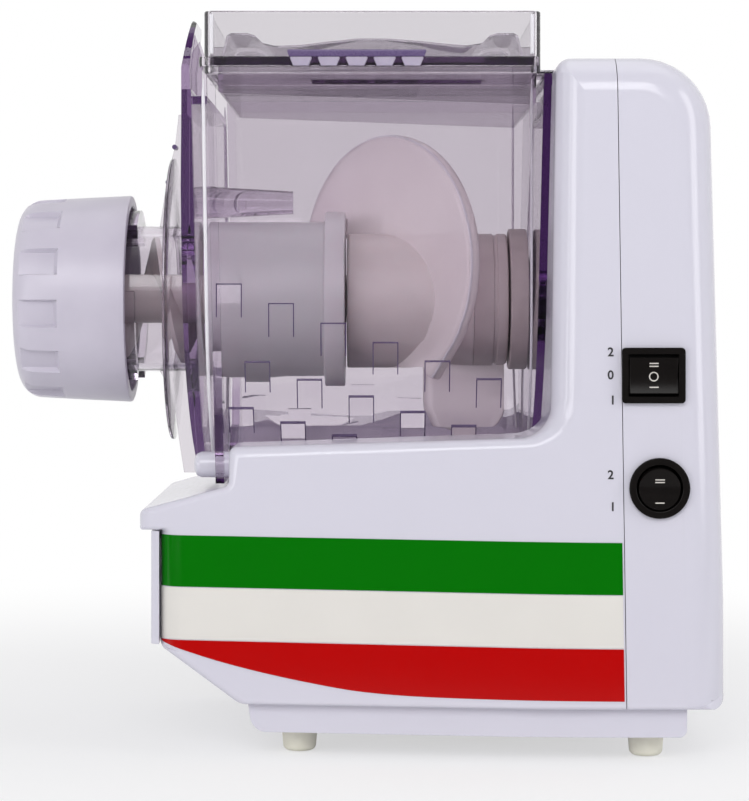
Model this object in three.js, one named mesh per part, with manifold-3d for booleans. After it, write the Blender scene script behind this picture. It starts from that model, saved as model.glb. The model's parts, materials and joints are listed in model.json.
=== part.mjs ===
// An electric pasta machine: a housing with a motor tower, a clear mixing chamber with its lid,
// a front plate with neck, auger, paddle, shaping die and die nut, and the drive inside.
// Millimetres, +Z up, +X from the die to the tower, the switches on the -Y side.
// The origin is the bottom centre of the whole machine.
import * as THREE from "three";
import { mergeVertices } from "three/addons/utils/BufferGeometryUtils.js";
import Module from "manifold-3d";

// Clearances
const touchGap = 0.3; // between pieces that touch
const runGap = 0.4; // beside what turns
const overrun = 2; // how far a cut runs past a face
const weldGap = 0.0001; // vertices closer than this are one

// Whole machine
const footHeight = 9;
const splitHeight = 20.5; // where the housing meets the base plate
const tableWidthHalf = 95; // half the width at the tower
const noseWidthHalf = 77; // half the width at the drawer

// Tower
const towerFront = 73.2; // front face, at the auger's axis
const towerDepth = 65.8; // front face to the lower back
const towerRise = 5.3; // tower top above the chamber's rim
const towerDraft = 0.0143; // lean of the front face
const towerBackLean = 5.6; // how far the back leans in at the top
const towerBackBendHeight = 60; // where the back starts to lean
const towerBackRound = 27;
const towerFrontRound = 6;
const towerSideRound = 14;
const towerFootRound = 5;
const towerBackBendRound = 60;
const towerCornerRound = 16; // rear corners seen from above
const towerFillet = 13; // between the tower and the base top
const seamFromFront = 23.8; // tower front to the seam, at the top
const seamLean = 3.6; // how far the seam leans back at its foot

// Base
const baseLength = 150.6; // tower front to the drawer frame
const baseTop = 123.4; // at the tower
const baseTopFall = 4.4; // how much lower the top is at the front
const baseTopSetback = 26.7; // drawer frame to the step
const shelfTop = 104; // at the step
const lipTop = 94.5;
const lipBottom = 87;
const lipReach = 8; // how far the lip stands out over the drawer
const bayFloor = 42.5; // underside of the drawer bay
const keelSetback = 30.7; // how far the lower front slopes back
const noseRound = 9;
const taperRound = 300;
const wall = 3;
const smallRound = 3;
const cradleFlange = 14; // width of the rim round the open underside
const bossRadius = 5;
const bossTop = 42;
const screwRadius = 1.7;
const screwHoleRadius = 1.95;
const screwBoreRadius = 2.2; // clearance hole of a screw

// Base plate and feet
const plateInset = 5;
const plateFloor = 3;
const plateFrontSetback = 34;
const plateRearInset = 15;
const plateKeel = 1.5; // how far the plate's front edge slopes
const plateFrontRound = 9;
const footRadius = 7;
const footInset = 23;
const footFrontInset = 19.4; // base plate front to the front feet
const footRearInset = 14; // base plate back to the rear feet
const footBevel = 1.5;
const screwHeadRadius = 3.6;
const screwHeadHeight = 2.4;
const screwLength = 14;
const screwRecess = 3.4;
const ventSlotWidth = 4;
const ventSlotLength = 36;
const ventSlotStep = 9;
const ventSlots = 5;

// Stripes
const stripeTop = 84;
const stripeHeight = 20.2;
const stripeCount = 3;
const stripeDepth = 0.5; // recess that holds the stripes
const stripeThick = 0.5;
const stripeFrontInset = 1.2;
const stripeSeamInset = 0.8;
// The lower edge of the lowest stripe: share of its length, then share of its height.
const stripeKeelShares = [
  [0, 0.94],
  [0.04, 0.82],
  [0.125, 0.6],
  [0.222, 0.4],
  [0.33, 0.22],
  [0.44, 0.08],
  [0.6, 0.01],
  [1, 0],
];

// Drawer
const drawerPanel = 3.2;
const drawerPanelGap = 0.5;
const drawerWall = 2;
const drawerHalf = 68;
const drawerRoom = 6.6; // drawer back to the motor's shaft
const drawerTop = 83;
const drawerTabHeight = 4;
const drawerTabReach = 2;
const drawerTabHalf = 14;
const bayFloorThick = 2;
const railHeight = 6;

// Chamber
const chamberGap = 1.5; // tower front to chamber back, at the axis
const chamberLength = 129.3;
const chamberInner = 70; // inner radius of the trough, and half its width
const chamberWall = 3;
const chamberDraft = 0.024; // lean of the back wall
const frontLean = 0.023; // lean of the front flange
const rimRise = 86.7; // rim above the axis
const rimHeight = 4.4;
const rimReach = 3.2;
const flangeThick = 3.3;
const flangeReach = 2; // flange beyond the trough's side
const flangeBottom = 104.8;
const chamberBackRound = 8;
const shaftHole = 12;
const padWidth = 10;
const padArc = 11.5; // degrees of the wall that one pad covers
const padThick = 0.9;
const padStep = 20.2;
const padTurn = 6.2; // degrees between neighbours in a row
const padRows = [
  { inset: 1.5, turn: -4.5, count: 6 },
  { inset: 12.3, turn: 20.5, count: 5 },
  { inset: 5.5, turn: 37.5, count: 4 },
];
const studRadius = 5;
const studReach = 14;
const studHeight = 111.5;
const studTipShare = 0.6; // length of the rounded tip, of the radius
// The tip from the side: share of its length, share of the radius.
const studTipShares = [
  [1, 1],
  [0.4, 0.86],
  [0.08, 0.5],
];
const studInset = 11; // from the flange's edge

// Lid
const lidHeight = 24;
const lidFront = 2.6; // how far the lid stands in front of the chamber wall at its foot
const lidBackInset = 3.6;
const lidHalf = 75.4;
const lidSkin = 2.5;
const lidRound = 4;
const lidDeckLow = 2.6; // deck above the lid's lower edge
const lidDeck = 3.8;
const lidRibReach = 2;
const gripLength = 50;
const gripHeight = 6.5;
const gripReach = 4.5;
const gripTeeth = 5;
const gripNotch = 3.6;
const gripShift = -6;
const skirtDropFront = 7; // the skirt's lower edge slopes down to the back
const skirtDropBack = 11.5;
const skirtGap = 0.5;
const skirtWall = 2;
const fillLength = 70;
const fillWidth = 22;
const fillShift = 10;
const tabAcross = -50;
const tabHalf = 11;
const tabThick = 2.2;
const tabDrop = 13;

// Front plate
const plateSkin = 4.5;
const plateDepth = 10.4;
const plateHalf = 72;
const plateRise = 81; // plate top above the axis
const plateBow = 1.6;
const plateRimWall = 3;
const plateRimInset = 2.5;
const neckInner = 27;
const neckWall = 3;
const lugRadius = 36.6;
const lugLength = 9;
const lugCount = 3;
const lugTurn = 70; // degrees that one lug covers
const lugShow = 3.5; // how far the lugs show behind the nut
const ribThick = 3;
const ribReachShare = 0.72; // of the way from the neck's front to the plate
// Of the neck's radius: how far the ribs stand out, and where they bend.
const ribOutShare = 0.32;
const upperBendShare = 0.6;
const lowerBendShare = 1.9;
const earRise = 33; // ear above the plate's top
const earHalf = 24;
const earThick = 3;
const earReach = 4.5;
const earRoundShare = 0.7; // of the ear's half width
const gussetAcrossShare = 0.6; // of the ear's half width
const gussetTopShare = 0.55; // of the ear's height
// The ear from the side, in its own thickness: its front and its back, foot to top.
const earFrontShares = [0.3, 0.3, 1.6];
const earBackShares = [1.6, 1.4, 2.2];
const pegHeight = 39.8; // above the axis
const pegRootRadius = 6.8;
const pegTipRadius = 4.7;
const pegLength = 29.6;

// Nut, die and extrusion tube
const nutLength = 45.7;
const nutRadius = 42.5;
const nutNoseRadius = 41.2;
const nutInner = 38;
const nutLip = 3.8;
const nutMouth = 27;
const nutRound = 9;
const nutRoundShares = [0.35, 0.28]; // middle of the rounded edge: along it, in from it
const nutShow = 26.2; // front plate to the nut's back edge
const fluteCount = 12;
const fluteTurn = 15; // degrees that one flute covers
const fluteStart = 8.5; // degrees from the top to the first
const fluteLength = 18.9;
const fluteDepth = 1.8;
const dieThick = 8;
const dieRadius = 32;
const dieHoleRadius = 1.6;
const dieRings = [
  { radius: 8, count: 6 },
  { radius: 18, count: 12 },
];
const tubeOuter = 31.8;
const tubeWall = 3.5;
const tubeLength = 56;
const tubeLip = 36;
const tubeLipLength = 8.3;
const tubeWindowLength = 28;
const tubeWindowHalf = 14;

// Auger and paddle
const augerCore = 10;
const augerRadius = 26;
const augerPitch = 26;
const augerBlade = 4;
const augerSteps = 14; // steps in one turn
const augerTipGap = 8; // auger tip to the die
const augerTipLength = 6;
const hexRadius = 8.6; // across the corners, halved
const hexGap = 0.35;
const augerTangLength = 32;
const hubRadius = 27;
const hubGap = 0.8;
const sweepRadius = 68;
const bigLobeHalf = 33.5;
const bigLobeTall = 54;
const bigLobeLift = 15.5;
const bigLobeInset = 18.8; // hub front to the lobe's middle
const bladeThick = 7;
const bigLobeTurn = 50; // degrees off the axis
const lowLobeTurn = 28;
const lowLobeHalf = 16.8;
const lowLobeReach = 57;
const lowLobeInset = 48.6;
const lowLobeRoundShare = 0.8; // of its half width
const tubeSweepGap = 1.2;
const collarRadius = 29;
const collarLength = 7.4;

// Drive
const spigotLength = 24;
const shaftRadius = 8;
const shaftTail = 34.5; // tower front to the shaft's back end
const gearModule = 2.5; // of the output pair
const fastModule = 2; // of the motor pair
const outputTeeth = 36;
const smallTeeth = 12;
const bigTeeth = 40;
const pinionTeeth = 10;
const gearThick = 9;
// A tooth: from the pitch circle in modules, and its width as a share of the pitch.
const toothRootShare = 1.15;
const toothTipShare = 0.85;
const toothRootWidthShare = 0.6;
const toothTipWidthShare = 0.24;
const fastThick = 6;
const gearSideGap = 2;
const axleRadius = 4;
const caseFront = 5.2; // tower front to the gear case
const caseSkin = 3;
const caseDepth = 25.5;
const caseHalf = 52;
const caseAbove = 56; // gear case above the output axis
const caseBelow = 24; // gear case below the motor axis
const caseRound = 20;
const bearingRadius = 16;
const bearingWidth = 4.5;
const coverGap = 0.3;

// Motor
const motorRadius = 30;
const motorWall = 2.5;
const airHoles = 3;
const airHoleStart = 60; // degrees from the top to the first
const motorLength = 66;
const motorHeight = 66; // the motor's axis above the table
const motorShift = 6.2; // motor back to the gear case
const statorInner = 18.6;
const statorLength = 42;
const rotorRadius = 17.6;
const rotorLength = 44;
const commutatorRadius = 10;
const commutatorLength = 7;
const motorShaft = 3.9;
const fanRadius = 24;
const fanThick = 8;
const fanGap = 3;
const shaftNose = 2; // motor shaft beyond the fan
const fanBlades = 7;
const fanHub = 9;
const saddleThick = 6;
const saddleHalf = 24;

// Switches
const bezelOut = 1.8;
const bezelWidth = 24;
const bezelHeight = 21;
const powerFromBack = 28.4; // tower back to the switch's middle
const powerHeight = 147;
const powerBodyWidth = 20;
const powerBodyHeight = 18.4;
const powerBodyDepth = 17;
const rockerWidth = 19.6;
const rockerHalf = 6.9;
const rockerOut = 3.2;
const rockerDip = 1.3;
const rockerDeep = 2;
const rockerGap = 1.1;
const rockerRootShare = 0.7; // height of the rocker inside, of its height at the face
const rockerDipShare = 0.4; // middle of the rocker, of its ends' reach
const switchShift = 2.3; // the round switch sits behind the upper one
const switchPitch = 42.6; // between the switches, in height
const modeBezel = 11.5;
const modeBody = 9.8;
const modeRocker = 8;
const modeTilt = 7; // degrees
const pocketDepth = 8;

// Back wall
const ventLow = 178;
const ventStep = 6.4;
const ventRows = 6;
const ventHalf = 34;
const ventHeight = 2.8;
const glandHeight = 48.6;
const glandRadius = 7;
const glandBore = 3.6;
const glandLip = 9;
const glandOut = 1.2;
const rearScrewHeights = [46, 238];
const postRadius = 4.6;
const postSink = 1; // how far a post stands in the side wall
const interlockLength = 12;
const interlockHeight = 16;
const leverTop = 0.5; // below the lid's tab

// Colours
const shellColour = 0xd8d7e4;
const clearColour = 0xc4b6d2;
const milkColour = 0xe0dcdc;
const darkColour = 0x1e1b19;
const steelColour = 0xb8bbc0;
const copperColour = 0x9a5a32;
const brassColour = 0xb89a50;
const stripeColours = [0x007500, 0xe2dfda, 0xb70000];
const footColour = 0xd2d0b8;
const collarColour = 0xa79c98;
const nutColour = 0xcdc8d4;
const dieColour = 0xe8e4da;
const augerColour = 0x8f8480;
const gearCaseColour = 0xd9d6cf;

const arcStep = Math.PI / 12; // turn between the points of a rounded corner
const fullTurn = Math.PI * 2;
const degree = Math.PI / 180;

// Solids

const wasm = await Module();
wasm.setup();

// A closed geometry as a solid, facing out.
function solid(geometry) {
  const loose = geometry.index ? geometry.toNonIndexed() : geometry;
  const bare = new THREE.BufferGeometry();
  bare.setAttribute("position", loose.getAttribute("position"));
  const merged = mergeVertices(bare, weldGap);
  const corners = merged.index.array;
  const kept = [];
  for (let i = 0; i < corners.length; i += 3) {
    const [a, b, c] = [corners[i], corners[i + 1], corners[i + 2]];
    if (a !== b && b !== c && c !== a) kept.push(a, b, c);
  }
  const make = (triangles) =>
    new wasm.Manifold(
      new wasm.Mesh({
        numProp: 3,
        vertProperties: merged.attributes.position.array,
        triVerts: new Uint32Array(triangles),
      }),
    );
  const made = make(kept);
  return made.volume() > 0 ? made : make(kept.reverse());
}

// The geometry of a solid.
function geometryOf(made) {
  const mesh = made.getMesh();
  const geometry = new THREE.BufferGeometry();
  const points = new THREE.BufferAttribute(mesh.vertProperties, 3);
  geometry.setAttribute("position", points);
  geometry.setIndex(new THREE.BufferAttribute(mesh.triVerts, 1));
  const flat = geometry.toNonIndexed();
  flat.computeVertexNormals();
  return flat;
}

const join = (first, ...others) => others.reduce((a, b) => a.add(b), first);
const cut = (first, ...others) => others.reduce((a, b) => a.subtract(b), first);
const common = (first, ...others) => others.reduce((a, b) => a.intersect(b), first);

// Outlines

const corner = (x, y, round = 0) => ({ x, y, round });

// The points of an outline whose corners are rounded by arcs.
function rounded(corners) {
  const points = [];
  corners.forEach((here, i) => {
    const before = corners[(i + corners.length - 1) % corners.length];
    const after = corners[(i + 1) % corners.length];
    const at = new THREE.Vector2(here.x, here.y);
    const back = new THREE.Vector2(before.x, before.y).sub(at);
    const on = new THREE.Vector2(after.x, after.y).sub(at);
    const room = Math.min(back.length(), on.length()) / 2;
    back.normalize();
    on.normalize();
    const angle = Math.acos(THREE.MathUtils.clamp(back.dot(on), -1, 1));
    const reach = Math.min(here.round / Math.tan(angle / 2), room);
    if (reach <= 0 || Math.PI - angle < degree / 10) {
      points.push(at);
      return;
    }
    const radius = reach * Math.tan(angle / 2);
    const middle = back.clone().add(on).normalize();
    middle.multiplyScalar(radius / Math.sin(angle / 2)).add(at);
    const start = back.multiplyScalar(reach).add(at).sub(middle);
    const end = on.multiplyScalar(reach).add(at).sub(middle);
    const sweep = Math.atan2(start.cross(end), start.dot(end));
    const steps = Math.max(1, Math.ceil(Math.abs(sweep) / arcStep));
    for (let k = 0; k <= steps; k++) {
      const turned = start.clone().rotateAround(new THREE.Vector2(), (sweep * k) / steps);
      points.push(turned.add(middle));
    }
  });
  return points;
}

// The corners of an outline that runs anticlockwise, moved inwards by a distance.
function inset(corners, distance) {
  const lines = corners.map((a, i) => {
    const b = corners[(i + 1) % corners.length];
    const along = new THREE.Vector2(b.x - a.x, b.y - a.y).normalize();
    const inward = new THREE.Vector2(-along.y, along.x).multiplyScalar(distance);
    return { from: inward.add(new THREE.Vector2(a.x, a.y)), along };
  });
  return corners.map((here, i) => {
    const one = lines[(i + lines.length - 1) % lines.length];
    const two = lines[i];
    const turn = one.along.cross(two.along);
    const between = two.from.clone().sub(one.from);
    const reach = between.cross(two.along) / turn;
    const at = one.along.clone().multiplyScalar(reach).add(one.from);
    const round = turn > 0 ? here.round - distance : here.round + distance;
    return corner(at.x, at.y, here.round > 0 ? Math.max(round, 0) : 0);
  });
}

// Prisms, turned solids and other plain shapes

function prism(corners, low, high, basis) {
  const shape = new THREE.Shape(rounded(corners));
  const geometry = new THREE.ExtrudeGeometry(shape, { depth: high - low, bevelEnabled: false });
  geometry.translate(0, 0, low);
  return solid(geometry.applyMatrix4(basis));
}

const axisX = new THREE.Vector3(1, 0, 0);
const axisY = new THREE.Vector3(0, 1, 0);
const axisZ = new THREE.Vector3(0, 0, 1);
const basisX = new THREE.Matrix4().makeBasis(axisY, axisZ, axisX);
const basisY = new THREE.Matrix4().makeBasis(axisX, axisZ, axisY);
const basisZ = new THREE.Matrix4();

// Outlines in (Y, Z), (X, Z) and (X, Y), drawn out along X, Y and Z.
const prismX = (corners, low, high) => prism(corners, low, high, basisX);
const prismY = (corners, low, high) => prism(corners, low, high, basisY);
const prismZ = (corners, low, high) => prism(corners, low, high, basisZ);

function block(x0, x1, y0, y1, z0, z1) {
  const geometry = new THREE.BoxGeometry(x1 - x0, y1 - y0, z1 - z0);
  return solid(geometry.translate((x0 + x1) / 2, (y0 + y1) / 2, (z0 + z1) / 2));
}

// A solid turned about an axis: points are (distance along it, radius), closed on themselves.
function turned(points, sides, quaternionTo) {
  const profile = points.map(([along, radius]) => new THREE.Vector2(radius, along));
  profile.push(profile[0].clone());
  const geometry = new THREE.LatheGeometry(profile, sides);
  return solid(geometry.applyQuaternion(quaternionTo));
}

const alongX = new THREE.Quaternion().setFromUnitVectors(axisY, axisX);
const alongY = new THREE.Quaternion();
const alongZ = new THREE.Quaternion().setFromUnitVectors(axisY, axisZ);

function turnedX(points, y, z, sides = 32) {
  return turned(points, sides, alongX).translate(0, y, z);
}

function turnedZ(points, x, y, sides = 16) {
  return turned(points, sides, alongZ).translate(x, y, 0);
}

function turnedY(points, x, z, sides = 32) {
  return turned(points, sides, alongY).translate(x, 0, z);
}

const rod = (low, high, radius) => [
  [low, 0],
  [high, 0],
  [high, radius],
  [low, radius],
];

const ring = (low, high, inner, outer) => [
  [low, inner],
  [high, inner],
  [high, outer],
  [low, outer],
];

const rodX = (x0, x1, radius, y, z, sides) => turnedX(rod(x0, x1, radius), y, z, sides);
const rodZ = (z0, z1, radius, x, y, sides) => turnedZ(rod(z0, z1, radius), x, y, sides);
const rodY = (y0, y1, radius, x, z, sides) => turnedY(rod(y0, y1, radius), x, z, sides);
const ringX = (x0, x1, inner, outer, y, z, sides) =>
  turnedX(ring(x0, x1, inner, outer), y, z, sides);

// The copies of a solid turned about an axis along X at a height.
function spunX(made, count, height, start = 0) {
  const copies = [];
  for (let i = 0; i < count; i++) {
    const level = made.translate(0, 0, -height).rotate(start + (360 * i) / count, 0, 0);
    copies.push(level.translate(0, 0, height));
  }
  return copies;
}

const root = new THREE.Group();

function piece(name, made, colour, roughness = 0.4, metalness = 0) {
  const material = new THREE.MeshStandardMaterial({ color: colour, roughness, metalness });
  const mesh = new THREE.Mesh(geometryOf(made), material);
  mesh.name = name;
  root.add(mesh);
}

// Places that several pieces share

const outputCentres = (gearModule * (outputTeeth + smallTeeth)) / 2;
const fastCentres = (fastModule * (bigTeeth + pinionTeeth)) / 2;
const axleHeight = motorHeight + fastCentres;
const axisHeight = axleHeight + outputCentres; // the auger's axis
const chamberRim = axisHeight + rimRise;
const towerTop = chamberRim + towerRise;
const lidTop = chamberRim + touchGap + lidHeight;
const plateTop = axisHeight + plateRise;
const earTop = plateTop + earRise;
const flangeHalf = chamberInner + chamberWall + flangeReach;
const studAcross = flangeHalf - studInset;
const towerFrontAt = (z) => towerFront + towerDraft * (z - axisHeight);
const towerBack = towerFront + towerDepth;
const noseX = towerFront - baseLength;
const stepX = noseX + baseTopSetback;
const lipX = noseX - lipReach;
const seamTop = towerFront + seamFromFront;
const seamAt = (z) => seamTop + (seamLean * (towerTop - z)) / (towerTop - splitHeight);
const chamberBack = towerFront - chamberGap;
const chamberBackAt = (z) => chamberBack + chamberDraft * (z - axisHeight);
const flangeFront = chamberBack - chamberLength;
const flangeFrontAt = (z) => flangeFront - frontLean * (z - axisHeight);
const plateBack = flangeFront - touchGap;
const plateBackAt = (z) => flangeFrontAt(z) - touchGap;
const plateFront = plateBack - plateDepth;
const plateFrontAt = (z) => plateBackAt(z) - plateDepth;
const nutBack = plateFront - nutShow;
const nutFront = nutBack - nutLength;
const dieFront = nutFront + nutLip + touchGap;
const dieBack = dieFront + dieThick;
const neckFront = dieBack + touchGap;
const chamberOuter = chamberInner + chamberWall;
const cradleRadius = chamberOuter + touchGap;
const neckOuter = neckInner + neckWall;
const tubeFront = plateFrontAt(axisHeight - tubeOuter) + plateSkin + touchGap;
const tubeBack = tubeFront + tubeLength;
const hubFront = tubeBack + hubGap;
const collarBack = chamberBackAt(axisHeight - collarRadius) - chamberWall - touchGap;
const collarFront = collarBack - collarLength;
const hubBack = collarFront - hubGap;
const bladeMiddle = hubFront + bigLobeInset;
const outputX = towerFront + caseFront + caseSkin + gearSideGap;
const fastX = outputX + gearThick + gearSideGap;
const caseX = towerFront + caseFront;
const coverX = caseX + caseDepth;
const motorBack = caseX - motorShift;
const motorFront = motorBack - motorLength;
const shaftFront = motorFront - fanGap - fanThick - shaftNose;
const drawerBack = shaftFront - drawerRoom;
const plateTopZ = splitHeight - touchGap;
const powerAcross = towerBack - powerFromBack;
const modeAcross = powerAcross + switchShift;
const modeHeight = powerHeight - switchPitch;

// Half the machine's width at a place along it.
function widthHalfAt(x) {
  const slope = (tableWidthHalf - noseWidthHalf) / baseLength;
  return x > towerFront ? tableWidthHalf : tableWidthHalf - slope * (towerFront - x);
}

// The machine seen from above, anticlockwise.
function planCorners() {
  const nose = widthHalfAt(lipX);
  return [
    corner(lipX, -nose, noseRound),
    corner(towerFront, -tableWidthHalf, taperRound),
    corner(towerBack, -tableWidthHalf, towerCornerRound),
    corner(towerBack, tableWidthHalf, towerCornerRound),
    corner(towerFront, tableWidthHalf, taperRound),
    corner(lipX, nose, noseRound),
  ];
}

const wide = tableWidthHalf + overrun;

// The housing as one full body, drawn in by a distance.
function housingBody(distance) {
  const towerSide = [
    corner(towerFrontAt(splitHeight), splitHeight),
    corner(towerBack, splitHeight, towerFootRound),
    corner(towerBack, towerBackBendHeight, towerBackBendRound),
    corner(towerBack - towerBackLean, towerTop, towerBackRound),
    corner(towerFrontAt(towerTop), towerTop, towerFrontRound),
  ];
  const towerEnd = [
    corner(-tableWidthHalf, splitHeight),
    corner(tableWidthHalf, splitHeight),
    corner(tableWidthHalf, towerTop, towerSideRound),
    corner(-tableWidthHalf, towerTop, towerSideRound),
  ];
  const inTower = towerFront + towerDepth / 2;
  const baseSide = [
    corner(noseX + keelSetback, splitHeight),
    corner(inTower, splitHeight),
    corner(inTower, baseTop),
    corner(stepX, baseTop - baseTopFall, smallRound),
    corner(stepX, shelfTop, smallRound),
    corner(lipX, lipTop, smallRound),
    corner(lipX, lipBottom),
    corner(noseX, lipBottom),
    corner(noseX, bayFloor, smallRound),
  ];
  const filletX = towerFrontAt(baseTop);
  const fillet = [
    corner(filletX - towerFillet, baseTop - towerFillet),
    corner(filletX + towerFillet, baseTop - towerFillet),
    corner(filletX + towerFillet, baseTop + towerFillet),
    corner(filletX, baseTop + towerFillet),
    corner(filletX, baseTop, towerFillet),
    corner(filletX - towerFillet, baseTop),
  ];
  const plan = prismZ(inset(planCorners(), distance), 0, towerTop);
  const tower = common(
    prismY(inset(towerSide, distance), -wide, wide),
    prismX(inset(towerEnd, distance), 0, towerBack + overrun),
  );
  const base = prismY(inset(baseSide, distance), -wide, wide);
  const sweep = prismY(inset(fillet, distance), -wide, wide);
  return common(join(tower, base, sweep), plan);
}

// The half-round channel that the chamber lies in.
function cradle(radius) {
  const end = towerFrontAt(splitHeight) + radius - cradleRadius;
  return rodX(lipX - wide, end, radius, 0, axisHeight, 48);
}

// Half-spaces before and behind the seam.
function seamSide(front) {
  const shift = front ? -touchGap / 2 : touchGap / 2;
  const far = front ? lipX - wide : towerBack + wide;
  const top = towerTop + wide;
  const corners = [
    corner(seamAt(-wide) + shift, -wide),
    corner(far, -wide),
    corner(far, top),
    corner(seamAt(top) + shift, top),
  ];
  return prismY(front ? corners.reverse() : corners, -wide, wide);
}

const screwPlaces = [stepX + keelSetback, towerBack - keelSetback].flatMap((x) => {
  const y = widthHalfAt(x) - cradleFlange + smallRound;
  return [
    { x, y: -y },
    { x, y },
  ];
});

// The bosses that the base screws go into.
function baseBosses(behindSeam) {
  const places = screwPlaces.filter((place) => place.x > seamTop === behindSeam);
  return places.map(({ x, y }) => rodZ(splitHeight, bossTop, bossRadius, x, y, 16));
}

function baseBossHoles() {
  const depth = splitHeight + screwLength;
  return screwPlaces.map(({ x, y }) => rodZ(0, depth, screwHoleRadius, x, y, 12));
}

const rearScrewAcross = tableWidthHalf - wall - postRadius + postSink;
const rearScrewPlaces = rearScrewHeights.flatMap((z) => [
  { y: -rearScrewAcross, z },
  { y: rearScrewAcross, z },
]);

const stripeBottom = stripeTop - stripeCount * stripeHeight;
const stripeFront = noseX + stripeFrontInset;
const stripeBackAt = (z) => seamAt(z) - stripeSeamInset;

// The outline of the three stripes on the side, drawn in by a distance.
function stripeField(distance) {
  const low = stripeBottom;
  const length = stripeBackAt(low) - stripeFront;
  const keel = stripeKeelShares.map(([along, up]) => {
    return corner(stripeFront + length * along, low + stripeHeight * up);
  });
  const top = [corner(stripeBackAt(stripeTop), stripeTop), corner(stripeFront, stripeTop)];
  return inset([...keel, ...top], distance);
}

// A layer over the sides of the housing, between two depths under its surface.
function sideLayer(deep, shallow) {
  const high = stripeTop + overrun;
  const outer = prismZ(inset(planCorners(), shallow), 0, high);
  return cut(outer, prismZ(inset(planCorners(), deep), -overrun, high + overrun));
}

const housingShell = (() => {
  const outer = cut(housingBody(0), cradle(cradleRadius));
  const inner = cut(housingBody(wall), cradle(cradleRadius + wall));
  const opening = common(
    prismZ(inset(planCorners(), cradleFlange), 0, splitHeight + wall + overrun),
    block(noseX + plateFrontSetback + cradleFlange / 2, towerBack, -wide, wide, 0, wide),
  );
  const field = prismY(stripeField(0), -wide, wide);
  const stripeRecess = common(field, sideLayer(stripeDepth, -overrun));
  return cut(outer, inner, opening, stripeRecess);
})();

// Housing

const bayTop = lipBottom - drawerPanelGap;
const drawerFloor = bayFloor + bayFloorThick + touchGap;
const railInner = drawerHalf + runGap;
const tabFront = towerFrontAt(lidTop) + runGap;
const tabBottom = chamberRim - tabDrop;

function frontHousing() {
  const bayFront = noseX + wall / 2;
  const bayBack = drawerBack + wall;
  const bayPlate = block(bayFront, bayBack, -wide, wide, bayFloor, bayFloor + bayFloorThick);
  const rails = [-1, 1].map((side) => {
    const near = side * railInner;
    const far = side * (railInner + drawerWall);
    const low = bayFloor + bayFloorThick / 2;
    const [y0, y1] = [Math.min(near, far), Math.max(near, far)];
    return block(bayFront, bayBack, y0, y1, low, bayFloor + bayFloorThick + railHeight);
  });
  const mouth = block(
    lipX - overrun,
    noseX + wall + overrun,
    -drawerHalf - runGap,
    drawerHalf + runGap,
    bayFloor + bayFloorThick,
    lipBottom - wall,
  );
  const posts = rearScrewPlaces.map(({ y, z }) => {
    return rodX(towerFrontAt(z) + wall, seamAt(z) - touchGap, postRadius, y, z, 12);
  });
  const pockets = rearScrewPlaces.map(({ y, z }) => {
    return rodX(seamAt(z) - screwLength, seamAt(z), screwHoleRadius, y, z, 12);
  });
  const inside = common(join(bayPlate, ...rails, ...baseBosses(false)), housingBody(wall / 2));
  const body = common(housingShell, seamSide(true));
  const shaft = rodX(towerFront - wide, caseX, shaftHole, 0, axisHeight, 32);
  const slot = block(
    towerFront - overrun,
    towerFrontAt(towerTop) + wall + touchGap,
    tabAcross - tabHalf - runGap,
    tabAcross + tabHalf + runGap,
    tabBottom - wall - overrun,
    towerTop + overrun,
  );
  const full = join(body, inside, ...posts);
  const made = cut(full, mouth, shaft, slot, ...pockets, ...baseBossHoles());
  piece("front_housing", made, shellColour, 0.25);
}

function rearHousing() {
  const body = common(housingShell, seamSide(false));
  const tubes = rearScrewPlaces.map(({ y, z }) => {
    return common(
      rodX(seamAt(z) + touchGap, towerBack, postRadius + wall / 2, y, z, 12),
      housingBody(wall / 2),
    );
  });
  const bores = rearScrewPlaces.map(({ y, z }) => {
    return rodX(seamTop - overrun, towerBack + overrun, screwBoreRadius, y, z, 12);
  });
  const sinks = rearScrewPlaces.map(({ y, z }) => {
    const seat = seamAt(z) + touchGap + screwRecess;
    return rodX(seat, towerBack + overrun, screwHeadRadius + touchGap, y, z, 16);
  });
  const slots = [];
  for (let i = 0; i < ventRows; i++) {
    const z = ventLow + ventStep * i;
    slots.push(block(seamTop + wall, towerBack + wide, -ventHalf, ventHalf, z, z + ventHeight));
  }
  const gland = rodX(
    seamTop + wall,
    towerBack + overrun,
    glandRadius + touchGap,
    0,
    glandHeight,
    24,
  );
  const powerHole = block(
    powerAcross - powerBodyWidth / 2 - touchGap,
    powerAcross + powerBodyWidth / 2 + touchGap,
    -wide,
    -tableWidthHalf + wall + overrun,
    powerHeight - powerBodyHeight / 2 - touchGap,
    powerHeight + powerBodyHeight / 2 + touchGap,
  );
  const inWall = -tableWidthHalf + wall + overrun;
  const modeHole = rodY(-wide, inWall, modeBody + touchGap, modeAcross, modeHeight, 32);
  const bosses = common(join(...baseBosses(true)), housingBody(wall / 2));
  const full = join(body, bosses, ...tubes);
  const holes = [...bores, ...sinks, ...slots, gland, powerHole, modeHole, ...baseBossHoles()];
  piece("rear_housing", cut(full, ...holes), shellColour, 0.25);
}

const plateFrontX = noseX + plateFrontSetback;
const plateBackX = towerBack - plateRearInset;
const footFrontX = plateFrontX + footFrontInset;
const footRearX = plateBackX - footRearInset;

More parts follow.
